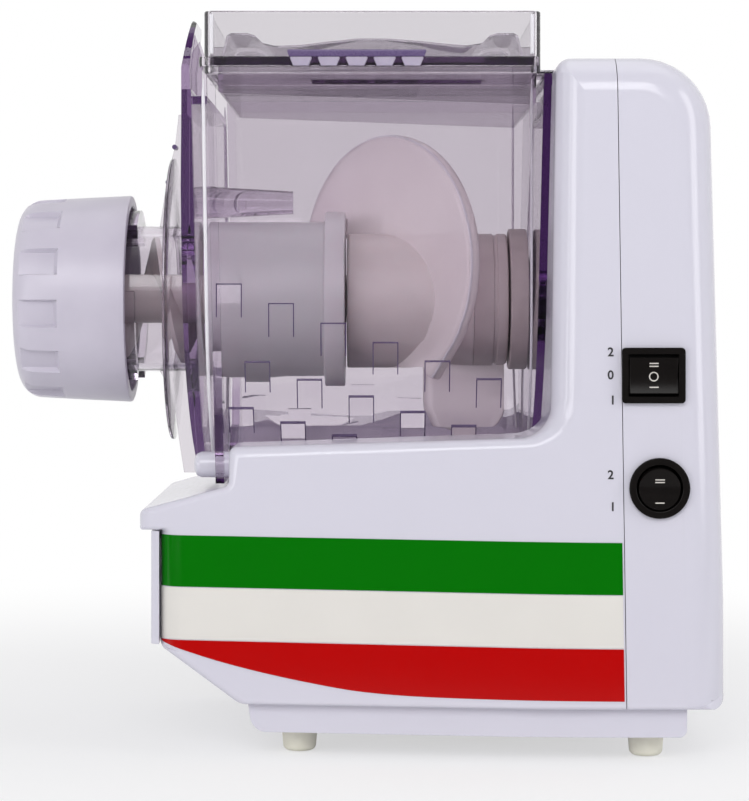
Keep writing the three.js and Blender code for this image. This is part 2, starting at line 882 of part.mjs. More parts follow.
function basePlate() {
  // The side view, drawn in by a distance, with its top at a height.
  const side = (distance, top) => {
    const corners = [
      corner(plateFrontX + plateKeel, footHeight + touchGap, plateFrontRound),
      corner(plateBackX, footHeight + touchGap, smallRound),
      corner(plateBackX, top + distance),
      corner(plateFrontX, top + distance),
    ];
    return prismY(inset(corners, distance), -wide, wide);
  };
  const outer = common(
    side(0, plateTopZ),
    prismZ(inset(planCorners(), plateInset), 0, plateTopZ),
  );
  const hollow = common(
    side(plateFloor, plateTopZ + overrun),
    prismZ(inset(planCorners(), plateInset + wall), 0, plateTopZ + overrun),
  );
  const floor = footHeight + touchGap + plateFloor;
  const saddles = [motorFront + saddleThick, motorBack - saddleThick * 2].map((x) => {
    const rib = block(x, x + saddleThick, -saddleHalf, saddleHalf, floor - touchGap, motorHeight);
    return cut(rib, rodX(x - wide, x + wide, motorRadius + touchGap, 0, motorHeight));
  });
  const cups = screwPlaces.map(({ x, y }) => {
    return rodZ(floor - touchGap, plateTopZ, bossRadius, x, y, 16);
  });
  const sinks = screwPlaces.map(({ x, y }) => {
    return rodZ(0, footHeight + touchGap + screwRecess, screwHeadRadius + touchGap, x, y, 16);
  });
  const bores = screwPlaces.map(({ x, y }) => rodZ(0, wide, screwBoreRadius, x, y, 12));
  const vents = [];
  for (let i = 0; i < ventSlots; i++) {
    const x = motorFront + ventSlotStep * (i + 1) + saddleThick;
    const y = ventSlotLength / 2 + saddleHalf;
    vents.push(block(x, x + ventSlotWidth, saddleHalf + overrun, y + overrun, 0, floor + overrun));
    vents.push(
      block(x, x + ventSlotWidth, -y - overrun, -saddleHalf - overrun, 0, floor + overrun),
    );
  }
  const full = join(cut(outer, hollow), ...saddles, ...cups);
  piece("base_plate", cut(full, ...sinks, ...bores, ...vents), shellColour, 0.45);
}

const footPlaces = [footFrontX, footRearX].flatMap((x) => {
  const y = widthHalfAt(x) - footInset;
  return [
    { x, y: -y },
    { x, y },
  ];
});

function feet() {
  footPlaces.forEach(({ x, y }, i) => {
    const profile = [
      [0, 0],
      [footHeight, 0],
      [footHeight, footRadius],
      [footBevel, footRadius],
      [0, footRadius - footBevel],
    ];
    piece(`foot_${i}`, turnedZ(profile, x, y), footColour, 0.8);
  });
}

function screws() {
  screwPlaces.forEach(({ x, y }, i) => {
    const seat = footHeight + touchGap + screwRecess;
    const head = rodZ(
      seat - touchGap - screwHeadHeight,
      seat - touchGap,
      screwHeadRadius,
      x,
      y,
      12,
    );
    const shank = rodZ(seat - overrun, seat + screwLength, screwRadius, x, y, 8);
    piece(`base_screw_${i}`, join(head, shank), steelColour, 0.35, 1);
  });
  rearScrewPlaces.forEach(({ y, z }, i) => {
    const seat = seamAt(z) + touchGap + screwRecess;
    const head = rodX(
      seat + touchGap,
      seat + touchGap + screwHeadHeight,
      screwHeadRadius,
      y,
      z,
      12,
    );
    const shank = rodX(seat - screwLength, seat + overrun, screwRadius, y, z, 8);
    piece(`rear_screw_${i}`, join(head, shank), steelColour, 0.35, 1);
  });
}

function stripes() {
  const names = ["green", "white", "red"];
  const back = stripeDepth - touchGap;
  const layer = sideLayer(back, back - stripeThick);
  const field = prismY(stripeField(touchGap), -wide, wide);
  names.forEach((name, i) => {
    const high = stripeTop - stripeHeight * i - (i > 0 ? touchGap / 2 : 0);
    const low = stripeTop - stripeHeight * (i + 1) + touchGap / 2;
    ["near", "far"].forEach((side, k) => {
      const [y0, y1] = k === 0 ? [-wide, 0] : [0, wide];
      const slab = block(lipX, towerBack, y0, y1, i === 2 ? 0 : low, high);
      const made = common(field, layer, slab);
      piece(`stripe_${name}_${side}`, made, stripeColours[i], 0.3);
    });
  });
}

function drawer() {
  const panelFront = noseX - touchGap - drawerPanel;
  const low = bayFloor + drawerPanelGap;
  const plan = inset(planCorners(), touchGap);
  const panel = common(
    prismZ(plan, low, bayTop),
    block(panelFront, noseX - touchGap, -wide, wide, 0, wide),
  );
  const half = drawerHalf;
  const back = drawerBack;
  const tray = cut(
    block(noseX - drawerPanel / 2, back, -half, half, drawerFloor, drawerTop),
    block(
      noseX + drawerWall / 2,
      back - drawerWall,
      -half + drawerWall,
      half - drawerWall,
      drawerFloor + drawerWall,
      drawerTop + overrun,
    ),
  );
  const tab = block(
    panelFront - drawerTabReach,
    panelFront + drawerPanel / 2,
    -drawerTabHalf,
    drawerTabHalf,
    low,
    low + drawerTabHeight,
  );
  piece("drawer", join(panel, tray, tab), shellColour, 0.3);
}

function studs() {
  const tip = studRadius * studTipShare;
  [-1, 1].forEach((side, i) => {
    const back = stepX - touchGap;
    const front = back - studReach;
    const profile = [
      [front, 0],
      [back, 0],
      [back, studRadius],
      ...studTipShares.map(([along, out]) => [front + tip * along, studRadius * out]),
    ];
    piece(
      `locating_stud_${i}`,
      turnedX(profile, side * studAcross, studHeight, 16),
      shellColour,
      0.3,
    );
  });
}

// Chamber

// A channel seen from the front: straight sides over a half-round floor.
function channel(half, top, bottomHalf = half) {
  const points = [corner(half, top), corner(-half, top)];
  const steps = Math.ceil(Math.PI / (arcStep / 2));
  for (let i = 0; i <= steps; i++) {
    const turn = Math.PI * (1 + i / steps);
    points.push(corner(half * Math.cos(turn), axisHeight + bottomHalf * Math.sin(turn)));
  }
  return points;
}

function wallPads() {
  const pads = [];
  padRows.forEach(({ inset: start, turn, count }) => {
    for (let i = 0; i < count; i++) {
      const x = flangeFront + start + padStep * i;
      for (const side of [-1, 1]) {
        const at = (degrees, radius) => {
          const angle = degrees * degree;
          return corner(side * radius * Math.cos(angle), axisHeight - radius * Math.sin(angle));
        };
        const top = turn + padTurn * i;
        const outer = chamberInner + padThick;
        const corners = [
          at(top, outer),
          at(top, chamberInner - padThick),
          at(top + padArc / 2, chamberInner - padThick / 2),
          at(top + padArc, outer),
        ];
        pads.push(prismX(side > 0 ? corners : corners.reverse(), x, x + padWidth));
      }
    }
  });
  return pads;
}

function mixingChamber() {
  const side = (front, back, low, round) => [
    corner(front + flangeFrontAt(low), low),
    corner(back + chamberBackAt(low), low, round),
    corner(back + chamberBackAt(chamberRim), chamberRim),
    corner(front + flangeFrontAt(chamberRim), chamberRim),
  ];
  const low = axisHeight - chamberOuter;
  const outer = common(
    prismY(side(0, 0, low, chamberBackRound), -wide, wide),
    prismX(channel(chamberOuter, chamberRim), -wide, wide),
  );
  const hollow = common(
    prismY(side(-wide, -chamberWall, low, chamberBackRound), -wide, wide),
    prismX(channel(chamberInner, chamberRim), -wide, wide),
  );
  const above = block(
    flangeFrontAt(chamberRim) + flangeThick,
    chamberBackAt(chamberRim) - chamberWall,
    -chamberInner,
    chamberInner,
    chamberRim - overrun,
    chamberRim + overrun,
  );
  const flange = common(
    prismY(
      [
        corner(flangeFrontAt(flangeBottom), flangeBottom),
        corner(flangeFrontAt(flangeBottom) + flangeThick, flangeBottom),
        corner(flangeFrontAt(chamberRim) + flangeThick, chamberRim),
        corner(flangeFrontAt(chamberRim), chamberRim),
      ],
      -flangeHalf,
      flangeHalf,
    ),
    block(-wide * 2, wide, -flangeHalf, flangeHalf, flangeBottom, chamberRim),
  );
  const rim = block(
    flangeFrontAt(chamberRim) + flangeThick / 2,
    chamberBackAt(chamberRim - rimHeight),
    -chamberOuter - rimReach,
    chamberOuter + rimReach,
    chamberRim - rimHeight,
    chamberRim,
  );
  const studHoles = [-1, 1].map((sideOf) => {
    const y = sideOf * studAcross;
    return rodX(-wide * 2, wide, studRadius + runGap, y, studHeight, 20);
  });
  const shaft = rodX(0, wide, shaftHole, 0, axisHeight, 32);
  const shell = cut(join(outer, flange, rim), hollow, above, shaft, ...studHoles);
  const pads = wallPads().map((pad) => common(pad, outer));
  piece("mixing_chamber", join(shell, ...pads), clearColour, 0.08);
}

function chamberCollar() {
  const inner = shaftRadius + runGap * 2;
  const made = ringX(collarFront, collarBack, inner, collarRadius, 0, axisHeight, 32);
  piece("chamber_collar", made, collarColour, 0.5);
}

// Lid: a tray whose walls stand on a deck, with a skirt that goes down into the chamber

function lid() {
  const low = chamberRim + touchGap;
  const front = flangeFrontAt(chamberRim) - lidFront + flangeThick / 2;
  const back = chamberBackAt(chamberRim) - lidBackInset;
  const box = (drawnIn, z0, z1) => {
    const [x0, x1, half] = [front + drawnIn, back - drawnIn, lidHalf - drawnIn];
    const round = Math.max(lidRound - drawnIn, lidRound / 4);
    const corners = [
      corner(x0, -half, round),
      corner(x1, -half, round),
      corner(x1, half, round),
      corner(x0, half, round),
    ];
    return prismZ(corners, z0, z1);
  };
  const deckLow = low + lidDeckLow;
  const deckTop = deckLow + lidDeck;
  const walls = cut(
    box(0, low, lidTop),
    box(lidSkin, deckTop, lidTop + overrun),
    box(lidSkin, low - overrun, deckLow),
  );
  const rib = cut(box(-lidRibReach, deckLow, deckTop), box(lidSkin / 2, 0, lidTop + overrun));
  const ribShort = block(front - wide, back, -wide, wide, 0, lidTop);
  const grips = [-1, 1].flatMap((side) => {
    const middle = (front + back) / 2 + gripShift;
    const tooth = (gripLength - gripNotch * (gripTeeth - 1)) / gripTeeth;
    const teeth = [];
    for (let i = 0; i < gripTeeth; i++) {
      const x = middle - gripLength / 2 + i * (tooth + gripNotch);
      const [near, far] = [side * (lidHalf - lidSkin / 2), side * (lidHalf + gripReach)];
      const [y0, y1] = [Math.min(near, far), Math.max(near, far)];
      teeth.push(block(x, x + tooth, y0, y1, deckLow, deckLow + gripHeight));
    }
    return teeth;
  });
  const skirtFront = flangeFrontAt(chamberRim) + flangeThick + skirtGap;
  const skirtBack = chamberBackAt(chamberRim - skirtDropBack) - chamberWall - skirtGap;
  const skirtHalf = chamberInner - skirtGap;
  const skirtSide = (drawnIn, frontLow, backLow, top) =>
    prismY(
      [
        corner(skirtFront + drawnIn, frontLow),
        corner(skirtBack - drawnIn, backLow),
        corner(skirtBack - drawnIn, top),
        corner(skirtFront + drawnIn, top),
      ],
      -skirtHalf + drawnIn,
      skirtHalf - drawnIn,
    );
  const skirt = cut(
    skirtSide(0, chamberRim - skirtDropFront, chamberRim - skirtDropBack, deckLow + lidSkin / 2),
    skirtSide(skirtWall, 0, 0, deckLow),
  );
  const fill = (z0, z1) => {
    const x = (front + back) / 2 + fillShift;
    return block(x - fillLength / 2, x + fillLength / 2, -fillWidth / 2, fillWidth / 2, z0, z1);
  };
  const arm = block(
    back - lidSkin / 2,
    tabFront + tabThick,
    tabAcross - tabHalf,
    tabAcross + tabHalf,
    low,
    low + lidSkin,
  );
  const tab = block(
    tabFront,
    tabFront + tabThick,
    tabAcross - tabHalf,
    tabAcross + tabHalf,
    tabBottom,
    low + lidSkin,
  );
  const full = join(walls, common(rib, ribShort), ...grips, skirt, arm, tab);
  piece("lid", cut(full, fill(0, lidTop)), clearColour, 0.08);
}

// Front plate with its neck, ear, ribs and peg

function frontPlate() {
  const bottom = axisHeight - plateHalf;
  const front = (z) => {
    const middle = (plateTop + bottom) / 2;
    const share = (z - middle) / ((plateTop - bottom) / 2);
    return plateFrontAt(z) + plateBow * (share * share - 1 / 2);
  };
  const bowSteps = 8;
  const bow = [];
  for (let i = 0; i <= bowSteps; i++) {
    const z = plateTop - ((plateTop - bottom) * i) / bowSteps;
    bow.push(corner(front(z), z));
  }
  const skinBack = (z) => plateFrontAt(z) + plateSkin;
  const skin = common(
    prismY(
      [...bow, corner(skinBack(bottom), bottom), corner(skinBack(plateTop), plateTop)],
      -wide,
      wide,
    ),
    prismX(channel(plateHalf, plateTop), -wide * 2, 0),
  );
  const rimSide = [
    corner(skinBack(bottom) - plateSkin / 2, bottom),
    corner(plateBackAt(bottom), bottom),
    corner(plateBackAt(plateTop), plateTop),
    corner(skinBack(plateTop) - plateSkin / 2, plateTop),
  ];
  const rimOuter = channel(plateHalf - plateRimInset, plateTop - plateRimInset);
  const rimInside = plateRimInset + plateRimWall;
  const rimInner = channel(plateHalf - rimInside, plateTop - rimInside);
  const rim = cut(
    common(prismY(rimSide, -wide, wide), prismX(rimOuter, -wide * 2, 0)),
    prismX(rimInner, -wide * 2, 0),
  );
  const neck = rodX(neckFront, plateFront + plateSkin / 2, neckOuter, 0, axisHeight, 36);
  const bore = rodX(neckFront - overrun, tubeFront + overrun, neckInner, 0, axisHeight, 36);
  const lugBack = nutBack + lugShow;
  const lugRing = ringX(
    lugBack - lugLength,
    lugBack,
    neckInner + neckWall / 2,
    lugRadius,
    0,
    axisHeight,
    36,
  );
  const lugWedge = (() => {
    const reach = lugRadius * 2;
    const half = (lugTurn / 2) * degree;
    const corners = [
      corner(0, axisHeight),
      corner(reach * Math.sin(half), axisHeight + reach * Math.cos(half)),
      corner(-reach * Math.sin(half), axisHeight + reach * Math.cos(half)),
    ];
    return prismX(corners, lugBack - lugLength, lugBack);
  })();
  const lugs = spunX(lugWedge, lugCount, axisHeight).map((wedge) => common(wedge, lugRing));
  const inSkin = plateFront + plateSkin / 2;
  const ribReach = neckFront + (inSkin - neckFront) * ribReachShare;
  const ribFar = inSkin - neckOuter * ribOutShare;
  const upperRib = [
    corner(inSkin, axisHeight + neckInner + neckWall / 2),
    corner(inSkin, plateTop - plateRimInset * 2),
    corner(ribFar, plateTop - plateRimInset * 2),
    corner(ribFar - earReach / 3, plateTop - neckOuter * upperBendShare),
    corner(ribFar - earReach, plateTop - neckOuter),
    corner(ribReach, axisHeight + neckOuter),
    corner(ribReach, axisHeight + neckInner + neckWall / 2),
  ];
  const lowerRib = [
    corner(inSkin, axisHeight - neckInner - neckWall / 2),
    corner(ribReach, axisHeight - neckInner - neckWall / 2),
    corner(ribReach, axisHeight - neckOuter),
    corner(ribFar - earReach / 2, axisHeight - neckOuter - earReach * 2),
    corner(ribFar, axisHeight - neckOuter * lowerBendShare),
    corner(ribFar + earReach / 2, bottom + touchGap),
    corner(inSkin, bottom + touchGap),
  ];
  const ribs = [upperRib, lowerRib].map((corners) => prismY(corners, -ribThick / 2, ribThick / 2));
  const earFront = front(plateTop) - earReach;
  const earLow = plateTop - plateRimInset * 3;
  const earMiddle = (earTop + earLow) / 2;
  const earBackHeights = [earLow, earMiddle, earTop - earThick / 2];
  const earFrontHeights = [earLow, earMiddle, earTop];
  const earAt = (shares, heights) =>
    shares.map((share, i) => corner(earFront + earThick * share, heights[i]));
  const earSide = [
    ...earAt(earBackShares, earBackHeights),
    ...earAt(earFrontShares, earFrontHeights).reverse(),
  ];
  const earShape = [
    corner(-earHalf, earLow - overrun),
    corner(earHalf, earLow - overrun),
    corner(earHalf, earTop, earHalf * earRoundShare),
    corner(-earHalf, earTop, earHalf * earRoundShare),
  ];
  const ear = common(prismY(earSide, -earHalf, earHalf), prismX(earShape, -wide * 2, 0));
  const earRoot = block(
    earFront + earThick,
    front(plateTop) + plateSkin / 2,
    -earHalf,
    earHalf,
    earLow,
    plateTop,
  );
  const gussetBack = plateBackAt(earTop) - earReach;
  const gusset = [
    corner(earFront + earThick, plateTop - plateSkin),
    corner(gussetBack, plateTop - plateSkin),
    corner(gussetBack, plateTop + (earTop - plateTop) * gussetTopShare),
    corner(earFront + earThick * earFrontShares[2], earTop - earThick),
  ];
  const gussets = [-1, 1].map((side) => {
    const y = side * earHalf * gussetAcrossShare;
    return prismY(gusset, y - ribThick / 2, y + ribThick / 2);
  });
  const pegRoot = plateFront + plateSkin / 2;
  const peg = turnedX(
    [
      [pegRoot, 0],
      [plateBack + pegLength, 0],
      [plateBack + pegLength, pegTipRadius],
      [pegRoot, pegRootRadius],
    ],
    0,
    axisHeight + pegHeight,
    24,
  );
  const full = join(skin, rim, neck, ...lugs, ...ribs, ear, earRoot, ...gussets, peg);
  piece("front_plate", cut(full, bore), clearColour, 0.08);
}

function extrusionTube() {
  const body = ringX(tubeFront, tubeBack, tubeOuter - tubeWall, tubeOuter, 0, axisHeight);
  const lipX0 = tubeBack - tubeLipLength;
  const lip = ringX(lipX0, tubeBack, tubeOuter - tubeWall / 2, tubeLip, 0, axisHeight);
  const windowBack = lipX0 - tubeWall;
  const window = block(
    windowBack - tubeWindowLength,
    windowBack,
    0,
    tubeLip,
    axisHeight - tubeWindowHalf,
    axisHeight + tubeWindowHalf,
  );
  piece("extrusion_tube", cut(join(body, lip), window), milkColour, 0.35);
}

function dieNut() {
  const outer = turnedX(
    [
      [nutFront, 0],
      [nutBack, 0],
      [nutBack, nutRadius],
      [nutFront + fluteLength, nutRadius],
      [nutFront + nutRound, nutNoseRadius],
      [nutFront + nutRound * nutRoundShares[0], nutNoseRadius - nutRound * nutRoundShares[1]],
      [nutFront, nutNoseRadius - nutRound],
    ],
    0,
    axisHeight,
    36,
  );
  const seat = rodX(nutFront + nutLip, nutBack + overrun, nutInner, 0, axisHeight, 36);
  const mouth = rodX(nutFront - overrun, nutFront + nutLip + overrun, nutMouth, 0, axisHeight, 36);
  const halfTurn = (fluteTurn / 2) * degree;
  const deep = nutNoseRadius - fluteDepth;
  const flute = prismX(
    [
      corner(-deep * Math.sin(halfTurn), axisHeight + deep),
      corner(deep * Math.sin(halfTurn), axisHeight + deep),
      corner(deep * Math.sin(halfTurn), axisHeight + nutRadius + overrun),
      corner(-deep * Math.sin(halfTurn), axisHeight + nutRadius + overrun),
    ],
    nutFront - overrun,
    nutFront + fluteLength,
  );
  const flutes = spunX(flute, fluteCount, axisHeight, fluteStart);
  piece("die_nut", cut(outer, seat, mouth, ...flutes), nutColour, 0.35);
}

function shapingDie() {
  const disc = rodX(dieFront, dieBack, dieRadius, 0, axisHeight, 40);
  const holes = dieRings.flatMap(({ radius, count }) => {
    const hole = rodX(
      dieFront - overrun,
      dieBack + overrun,
      dieHoleRadius,
      0,
      axisHeight + radius,
      6,
    );
    return spunX(hole, count, axisHeight);
  });
  piece("shaping_die", cut(disc, ...holes), dieColour, 0.4);
}

// Auger and paddle

// A screw blade round the axis along X, from one end to the other.
function flight(front, back, inner, outer, thick) {
  const steps = Math.round(((back - front - thick) / augerPitch) * augerSteps);
  const positions = [];
  const section = (i) => {
    const angle = (i / augerSteps) * fullTurn;
    const x = front + (i / augerSteps) * augerPitch;
    const place = (radius, along) => [
      along,
      radius * Math.cos(angle),
      axisHeight + radius * Math.sin(angle),
    ];
    return [
      place(inner, x),
      place(outer, x + thick / 4),
      place(outer, x + (thick * 3) / 4),
      place(inner, x + thick),
    ];
  };
  const triangle = (a, b, c) => positions.push(...a, ...b, ...c);
  for (let i = 0; i < steps; i++) {
    const [near, far] = [section(i), section(i + 1)];
    for (let k = 0; k < 4; k++) {
      const next = (k + 1) % 4;
      triangle(near[k], near[next], far[next]);
      triangle(near[k], far[next], far[k]);
    }
  }
  const [first, last] = [section(0), section(steps)];
  triangle(first[0], first[2], first[1]);
  triangle(first[0], first[3], first[2]);
  triangle(last[0], last[1], last[2]);
  triangle(last[0], last[2], last[3]);
  const geometry = new THREE.BufferGeometry();
  geometry.setAttribute("position", new THREE.Float32BufferAttribute(positions, 3));
  return solid(geometry);
}

function hexagon(radius) {
  const corners = [];
  for (let i = 0; i < 6; i++) {
    const angle = (i * fullTurn) / 6;
    corners.push(corner(radius * Math.cos(angle), axisHeight + radius * Math.sin(angle)));
  }
  return corners;
}

function auger() {
  const tip = neckFront + augerTipGap;
  const shoulder = hubFront - runGap;
  const core = turnedX(
    [
      [tip - augerTipLength / 2, 0],
      [shoulder, 0],
      [shoulder, augerCore],
      [tip + augerTipLength, augerCore],
      [tip - augerTipLength / 2, augerCore / 3],
    ],
    0,
    axisHeight,
    24,
  );
  const blade = flight(tip, shoulder - overrun, augerCore - overrun, augerRadius, augerBlade);
  const tang = prismX(hexagon(hexRadius), shoulder - overrun, hubFront + augerTangLength);
  piece("auger", join(core, blade, tang), augerColour, 0.4);
}

function mixingPaddle() {
  const hub = rodX(hubFront, hubBack, hubRadius, 0, axisHeight, 40);
  const bore = prismX(hexagon(hexRadius + hexGap), hubFront - overrun, hubBack + overrun);
  const bigHalf = bigLobeHalf / Math.cos(bigLobeTurn * degree);
  const oval = [];
  const ovalSteps = 36;
  for (let i = 0; i < ovalSteps; i++) {
    const angle = (i * fullTurn) / ovalSteps;
    oval.push(corner(bigHalf * Math.cos(angle), bigLobeTall * Math.sin(angle)));
  }
  const bigBlade = prismY(oval, -bladeThick / 2, bladeThick / 2)
    .rotate(0, 0, -bigLobeTurn)
    .translate(bladeMiddle, 0, axisHeight + bigLobeLift);
  const lowHalf = lowLobeHalf / Math.cos(lowLobeTurn * degree);
  const lowCorners = [
    corner(-lowHalf, -lowLobeReach, lowHalf * lowLobeRoundShare),
    corner(lowHalf, -lowLobeReach, lowHalf * lowLobeRoundShare),
    corner(lowHalf, 0),
    corner(-lowHalf, 0),
  ];
  const lowBlade = prismY(lowCorners, -bladeThick / 2, bladeThick / 2)
    .rotate(0, 0, lowLobeTurn)
    .translate(hubFront + lowLobeInset, 0, axisHeight);
  const sweep = ringX(
    hubFront - wide,
    hubBack - runGap,
    hexRadius / 2,
    sweepRadius,
    0,
    axisHeight,
    48,
  );
  const tubeRoom = join(
    rodX(hubFront - wide, hubFront, tubeLip + tubeSweepGap, 0, axisHeight, 48),
    block(hubFront - wide, hubFront, -wide, wide, 0, axisHeight),
  );
  const blades = common(join(bigBlade, lowBlade), sweep);
  piece("mixing_paddle", cut(join(hub, cut(blades, tubeRoom)), bore), milkColour, 0.35);
}

// Drive

// A gear about an axis along X, as one outline drawn out.
function gear(teeth, module, x0, x1, height, bore, turn) {
  const pitchRadius = (teeth * module) / 2;
  const levels = [
    { radius: pitchRadius - module * toothRootShare, share: toothRootWidthShare },
    { radius: pitchRadius + module * toothTipShare, share: toothTipWidthShare },
  ];
  const corners = [];
  for (let i = 0; i < teeth; i++) {
    const place = ({ radius, share }, side) => {
      const angle = ((i + (side * share) / 2) / teeth) * fullTurn + turn;
      corners.push(corner(radius * Math.cos(angle), height + radius * Math.sin(angle)));
    };
    levels.forEach((level) => place(level, -1));
    [...levels].reverse().forEach((level) => place(level, 1));
  }
  return cut(prismX(corners, x0, x1), rodX(x0 - overrun, x1 + overrun, bore, 0, height, 32));
}

const upTurn = Math.PI / 2;

function drive() {
  const shaftBack = towerFront + shaftTail;
  const spigot = prismX(hexagon(hexRadius), hubBack + runGap - spigotLength, towerFront);
  const shaft = rodX(hubBack + runGap, shaftBack, shaftRadius, 0, axisHeight, 24);
  piece("drive_shaft", join(spigot, shaft), steelColour, 0.3, 1);
  // A tooth of the big gear points down, a gap of the small one points up.
  const outputBore = shaftRadius + touchGap;
  const outputTurn = -upTurn;
  const output = gear(
    outputTeeth,
    gearModule,
    outputX,
    outputX + gearThick,
    axisHeight,
    outputBore,
    outputTurn,
  );
  piece("output_gear", output, milkColour, 0.5);
  const bearing = ringX(caseX, caseX + bearingWidth, outputBore, bearingRadius, 0, axisHeight, 24);
  piece("output_bearing", bearing, steelColour, 0.3, 1);
  const axleBore = axleRadius + runGap;
  const halfTooth = Math.PI / smallTeeth;
  const small = gear(
    smallTeeth,
    gearModule,
    outputX - runGap * 2,
    fastX + overrun / 2,
    axleHeight,
    axleBore,
    upTurn + halfTooth,
  );
  const big = gear(bigTeeth, fastModule, fastX, fastX + fastThick, axleHeight, axleBore, -upTurn);
  piece("intermediate_gear", join(small, big), milkColour, 0.5);
  const axle = rodX(
    caseX + caseSkin + touchGap,
    coverX - coverGap - touchGap,
    axleRadius,
    0,
    axleHeight,
    20,
  );
  piece("intermediate_axle", axle, steelColour, 0.3, 1);
  const pinion = gear(
    pinionTeeth,
    fastModule,
    fastX - runGap,
    fastX + fastThick + runGap,
    motorHeight,
    motorShaft + touchGap,
    upTurn + Math.PI / pinionTeeth,
  );
  piece("motor_pinion", pinion, brassColour, 0.35, 1);
}

function gearCase() {
  const outline = (drawnIn) => {
    const half = caseHalf;
    const corners = [
      corner(-half, motorHeight - caseBelow, caseRound),
      corner(half, motorHeight - caseBelow, caseRound),
      corner(half, axisHeight + caseAbove, caseRound),
      corner(-half, axisHeight + caseAbove, caseRound),
    ];
    return inset(corners, drawnIn);
  };
  const tray = cut(
    prismX(outline(0), caseX, coverX - coverGap),
    prismX(outline(caseSkin), caseX + caseSkin, coverX + overrun),
  );
  const seat = rodX(caseX - overrun, caseX + wide, bearingRadius + touchGap, 0, axisHeight, 32);
  const axleSeat = rodX(
    caseX + caseSkin / 2,
    caseX + caseSkin + gearSideGap / 2,
    axleRadius + wall,
    0,
    axleHeight,
    20,
  );
  const axleHole = rodX(caseX + caseSkin, coverX, axleRadius + touchGap / 2, 0, axleHeight, 20);
  const motorHole = rodX(caseX - overrun, caseX + wide, motorShaft + runGap, 0, motorHeight, 20);
  const made = cut(join(tray, axleSeat), seat, axleHole, motorHole);
  piece("gearcase", made, gearCaseColour, 0.5);
  const coverBack = coverX + caseSkin;
  const cover = prismX(outline(0), coverX, coverBack);
  const shaftSeat = rodX(
    coverX - overrun,
    coverBack + overrun,
    shaftRadius + runGap,
    0,
    axisHeight,
    24,
  );
  const motorSeat = rodX(
    coverX - overrun,
    coverBack + overrun,
    motorShaft + runGap,
    0,
    motorHeight,
    20,
  );
  piece("gearcase_cover", cut(cover, shaftSeat, motorSeat), gearCaseColour, 0.5);
}

function motor() {
  const can = ringX(
    motorFront,
    motorBack,
    motorRadius - motorWall,
    motorRadius,
    0,
    motorHeight,
    24,
  );
  const ends = [motorFront, motorBack - motorWall].map((x) => {
    return ringX(
      x,
      x + motorWall,
      motorShaft + runGap,
      motorRadius - motorWall / 2,
      0,
      motorHeight,
      24,
    );
  });
  const airHole = rodX(
    motorFront - overrun,
    motorBack + overrun,
    motorWall * 2,
    0,
    motorHeight + statorInner,
    8,
  );
  const air = spunX(airHole, airHoles, motorHeight, airHoleStart);
  piece("motor_can", cut(join(can, ...ends), ...air), steelColour, 0.4, 1);
  const middle = (motorFront + motorBack) / 2 - commutatorLength / 2;
  const statorOuter = motorRadius - motorWall - touchGap;
  const stator = ringX(
    middle - statorLength / 2,
    middle + statorLength / 2,
    statorInner,
    statorOuter,
    0,
    motorHeight,
    24,
  );
  piece("motor_stator", stator, copperColour, 0.6);
  const fanBack = motorFront - fanGap;
  const shaft = rodX(
    shaftFront,
    coverX + caseSkin,
    motorShaft,
    0,
    motorHeight,
    16,
  );
  const core = rodX(
    middle - rotorLength / 2,
    middle + rotorLength / 2,
    rotorRadius,
    0,
    motorHeight,
    24,
  );
  const coreBack = middle + rotorLength / 2;
  const commutator = rodX(
    coreBack - overrun,
    coreBack + commutatorLength,
    commutatorRadius,
    0,
    motorHeight,
    20,
  );
  piece("motor_rotor", join(shaft, core, commutator), steelColour, 0.4, 1);
  const hub = ringX(fanBack - fanThick, fanBack, motorShaft + touchGap, fanHub, 0, motorHeight, 16);
  const blade = block(
    fanBack - fanThick,
    fanBack,
    -motorWall / 2,
    motorWall / 2,
    motorHeight + fanHub - overrun,
    motorHeight + fanRadius,
  );
  const disc = ringX(
    fanBack - overrun,
    fanBack,
    motorShaft + touchGap,
    fanRadius,
    0,
    motorHeight,
    20,
  );
  piece("motor_fan", join(hub, disc, ...spunX(blade, fanBlades, motorHeight)), darkColour, 0.5);
}

// Switches

const sideY = -tableWidthHalf;

function powerSwitch() {
  const face = sideY - touchGap;
  const half = bezelWidth / 2;
  const high = bezelHeight / 2;
  const bezel = prismY(
    [
      corner(powerAcross - half, powerHeight - high, smallRound / 2),
      corner(powerAcross + half, powerHeight - high, smallRound / 2),
      corner(powerAcross + half, powerHeight + high, smallRound / 2),
      corner(powerAcross - half, powerHeight + high, smallRound / 2),
    ],
    face - bezelOut,
    face,
  );
  const body = block(
    powerAcross - powerBodyWidth / 2,
    powerAcross + powerBodyWidth / 2,
    face - bezelOut / 2,
    sideY + powerBodyDepth,
    powerHeight - powerBodyHeight / 2,
    powerHeight + powerBodyHeight / 2,
  );
  const opening = rockerHalf + rockerGap;
  const pocket = block(
    powerAcross - rockerWidth / 2 + touchGap,
    powerAcross + rockerWidth / 2 - touchGap,
    face - bezelOut - overrun,
    sideY + pocketDepth,
    powerHeight - opening,
    powerHeight + opening,
  );
  piece("power_switch_body", cut(join(bezel, body), pocket), darkColour, 0.3);
  const rockerIn = rockerWidth / 2 - touchGap * 2;
  const outer = face - bezelOut;
  const rocker = prismX(
    [
      corner(outer + rockerOut * 2, powerHeight + rockerHalf * rockerRootShare),
      corner(outer - rockerDip, powerHeight + rockerHalf),
      corner(outer + rockerDip * rockerDipShare, powerHeight),
      corner(outer - rockerDip, powerHeight - rockerHalf),
      corner(outer + rockerOut * 2, powerHeight - rockerHalf * rockerRootShare),
    ],
    powerAcross - rockerIn,
    powerAcross + rockerIn,
  );
  piece("power_rocker", rocker, darkColour, 0.25);
}

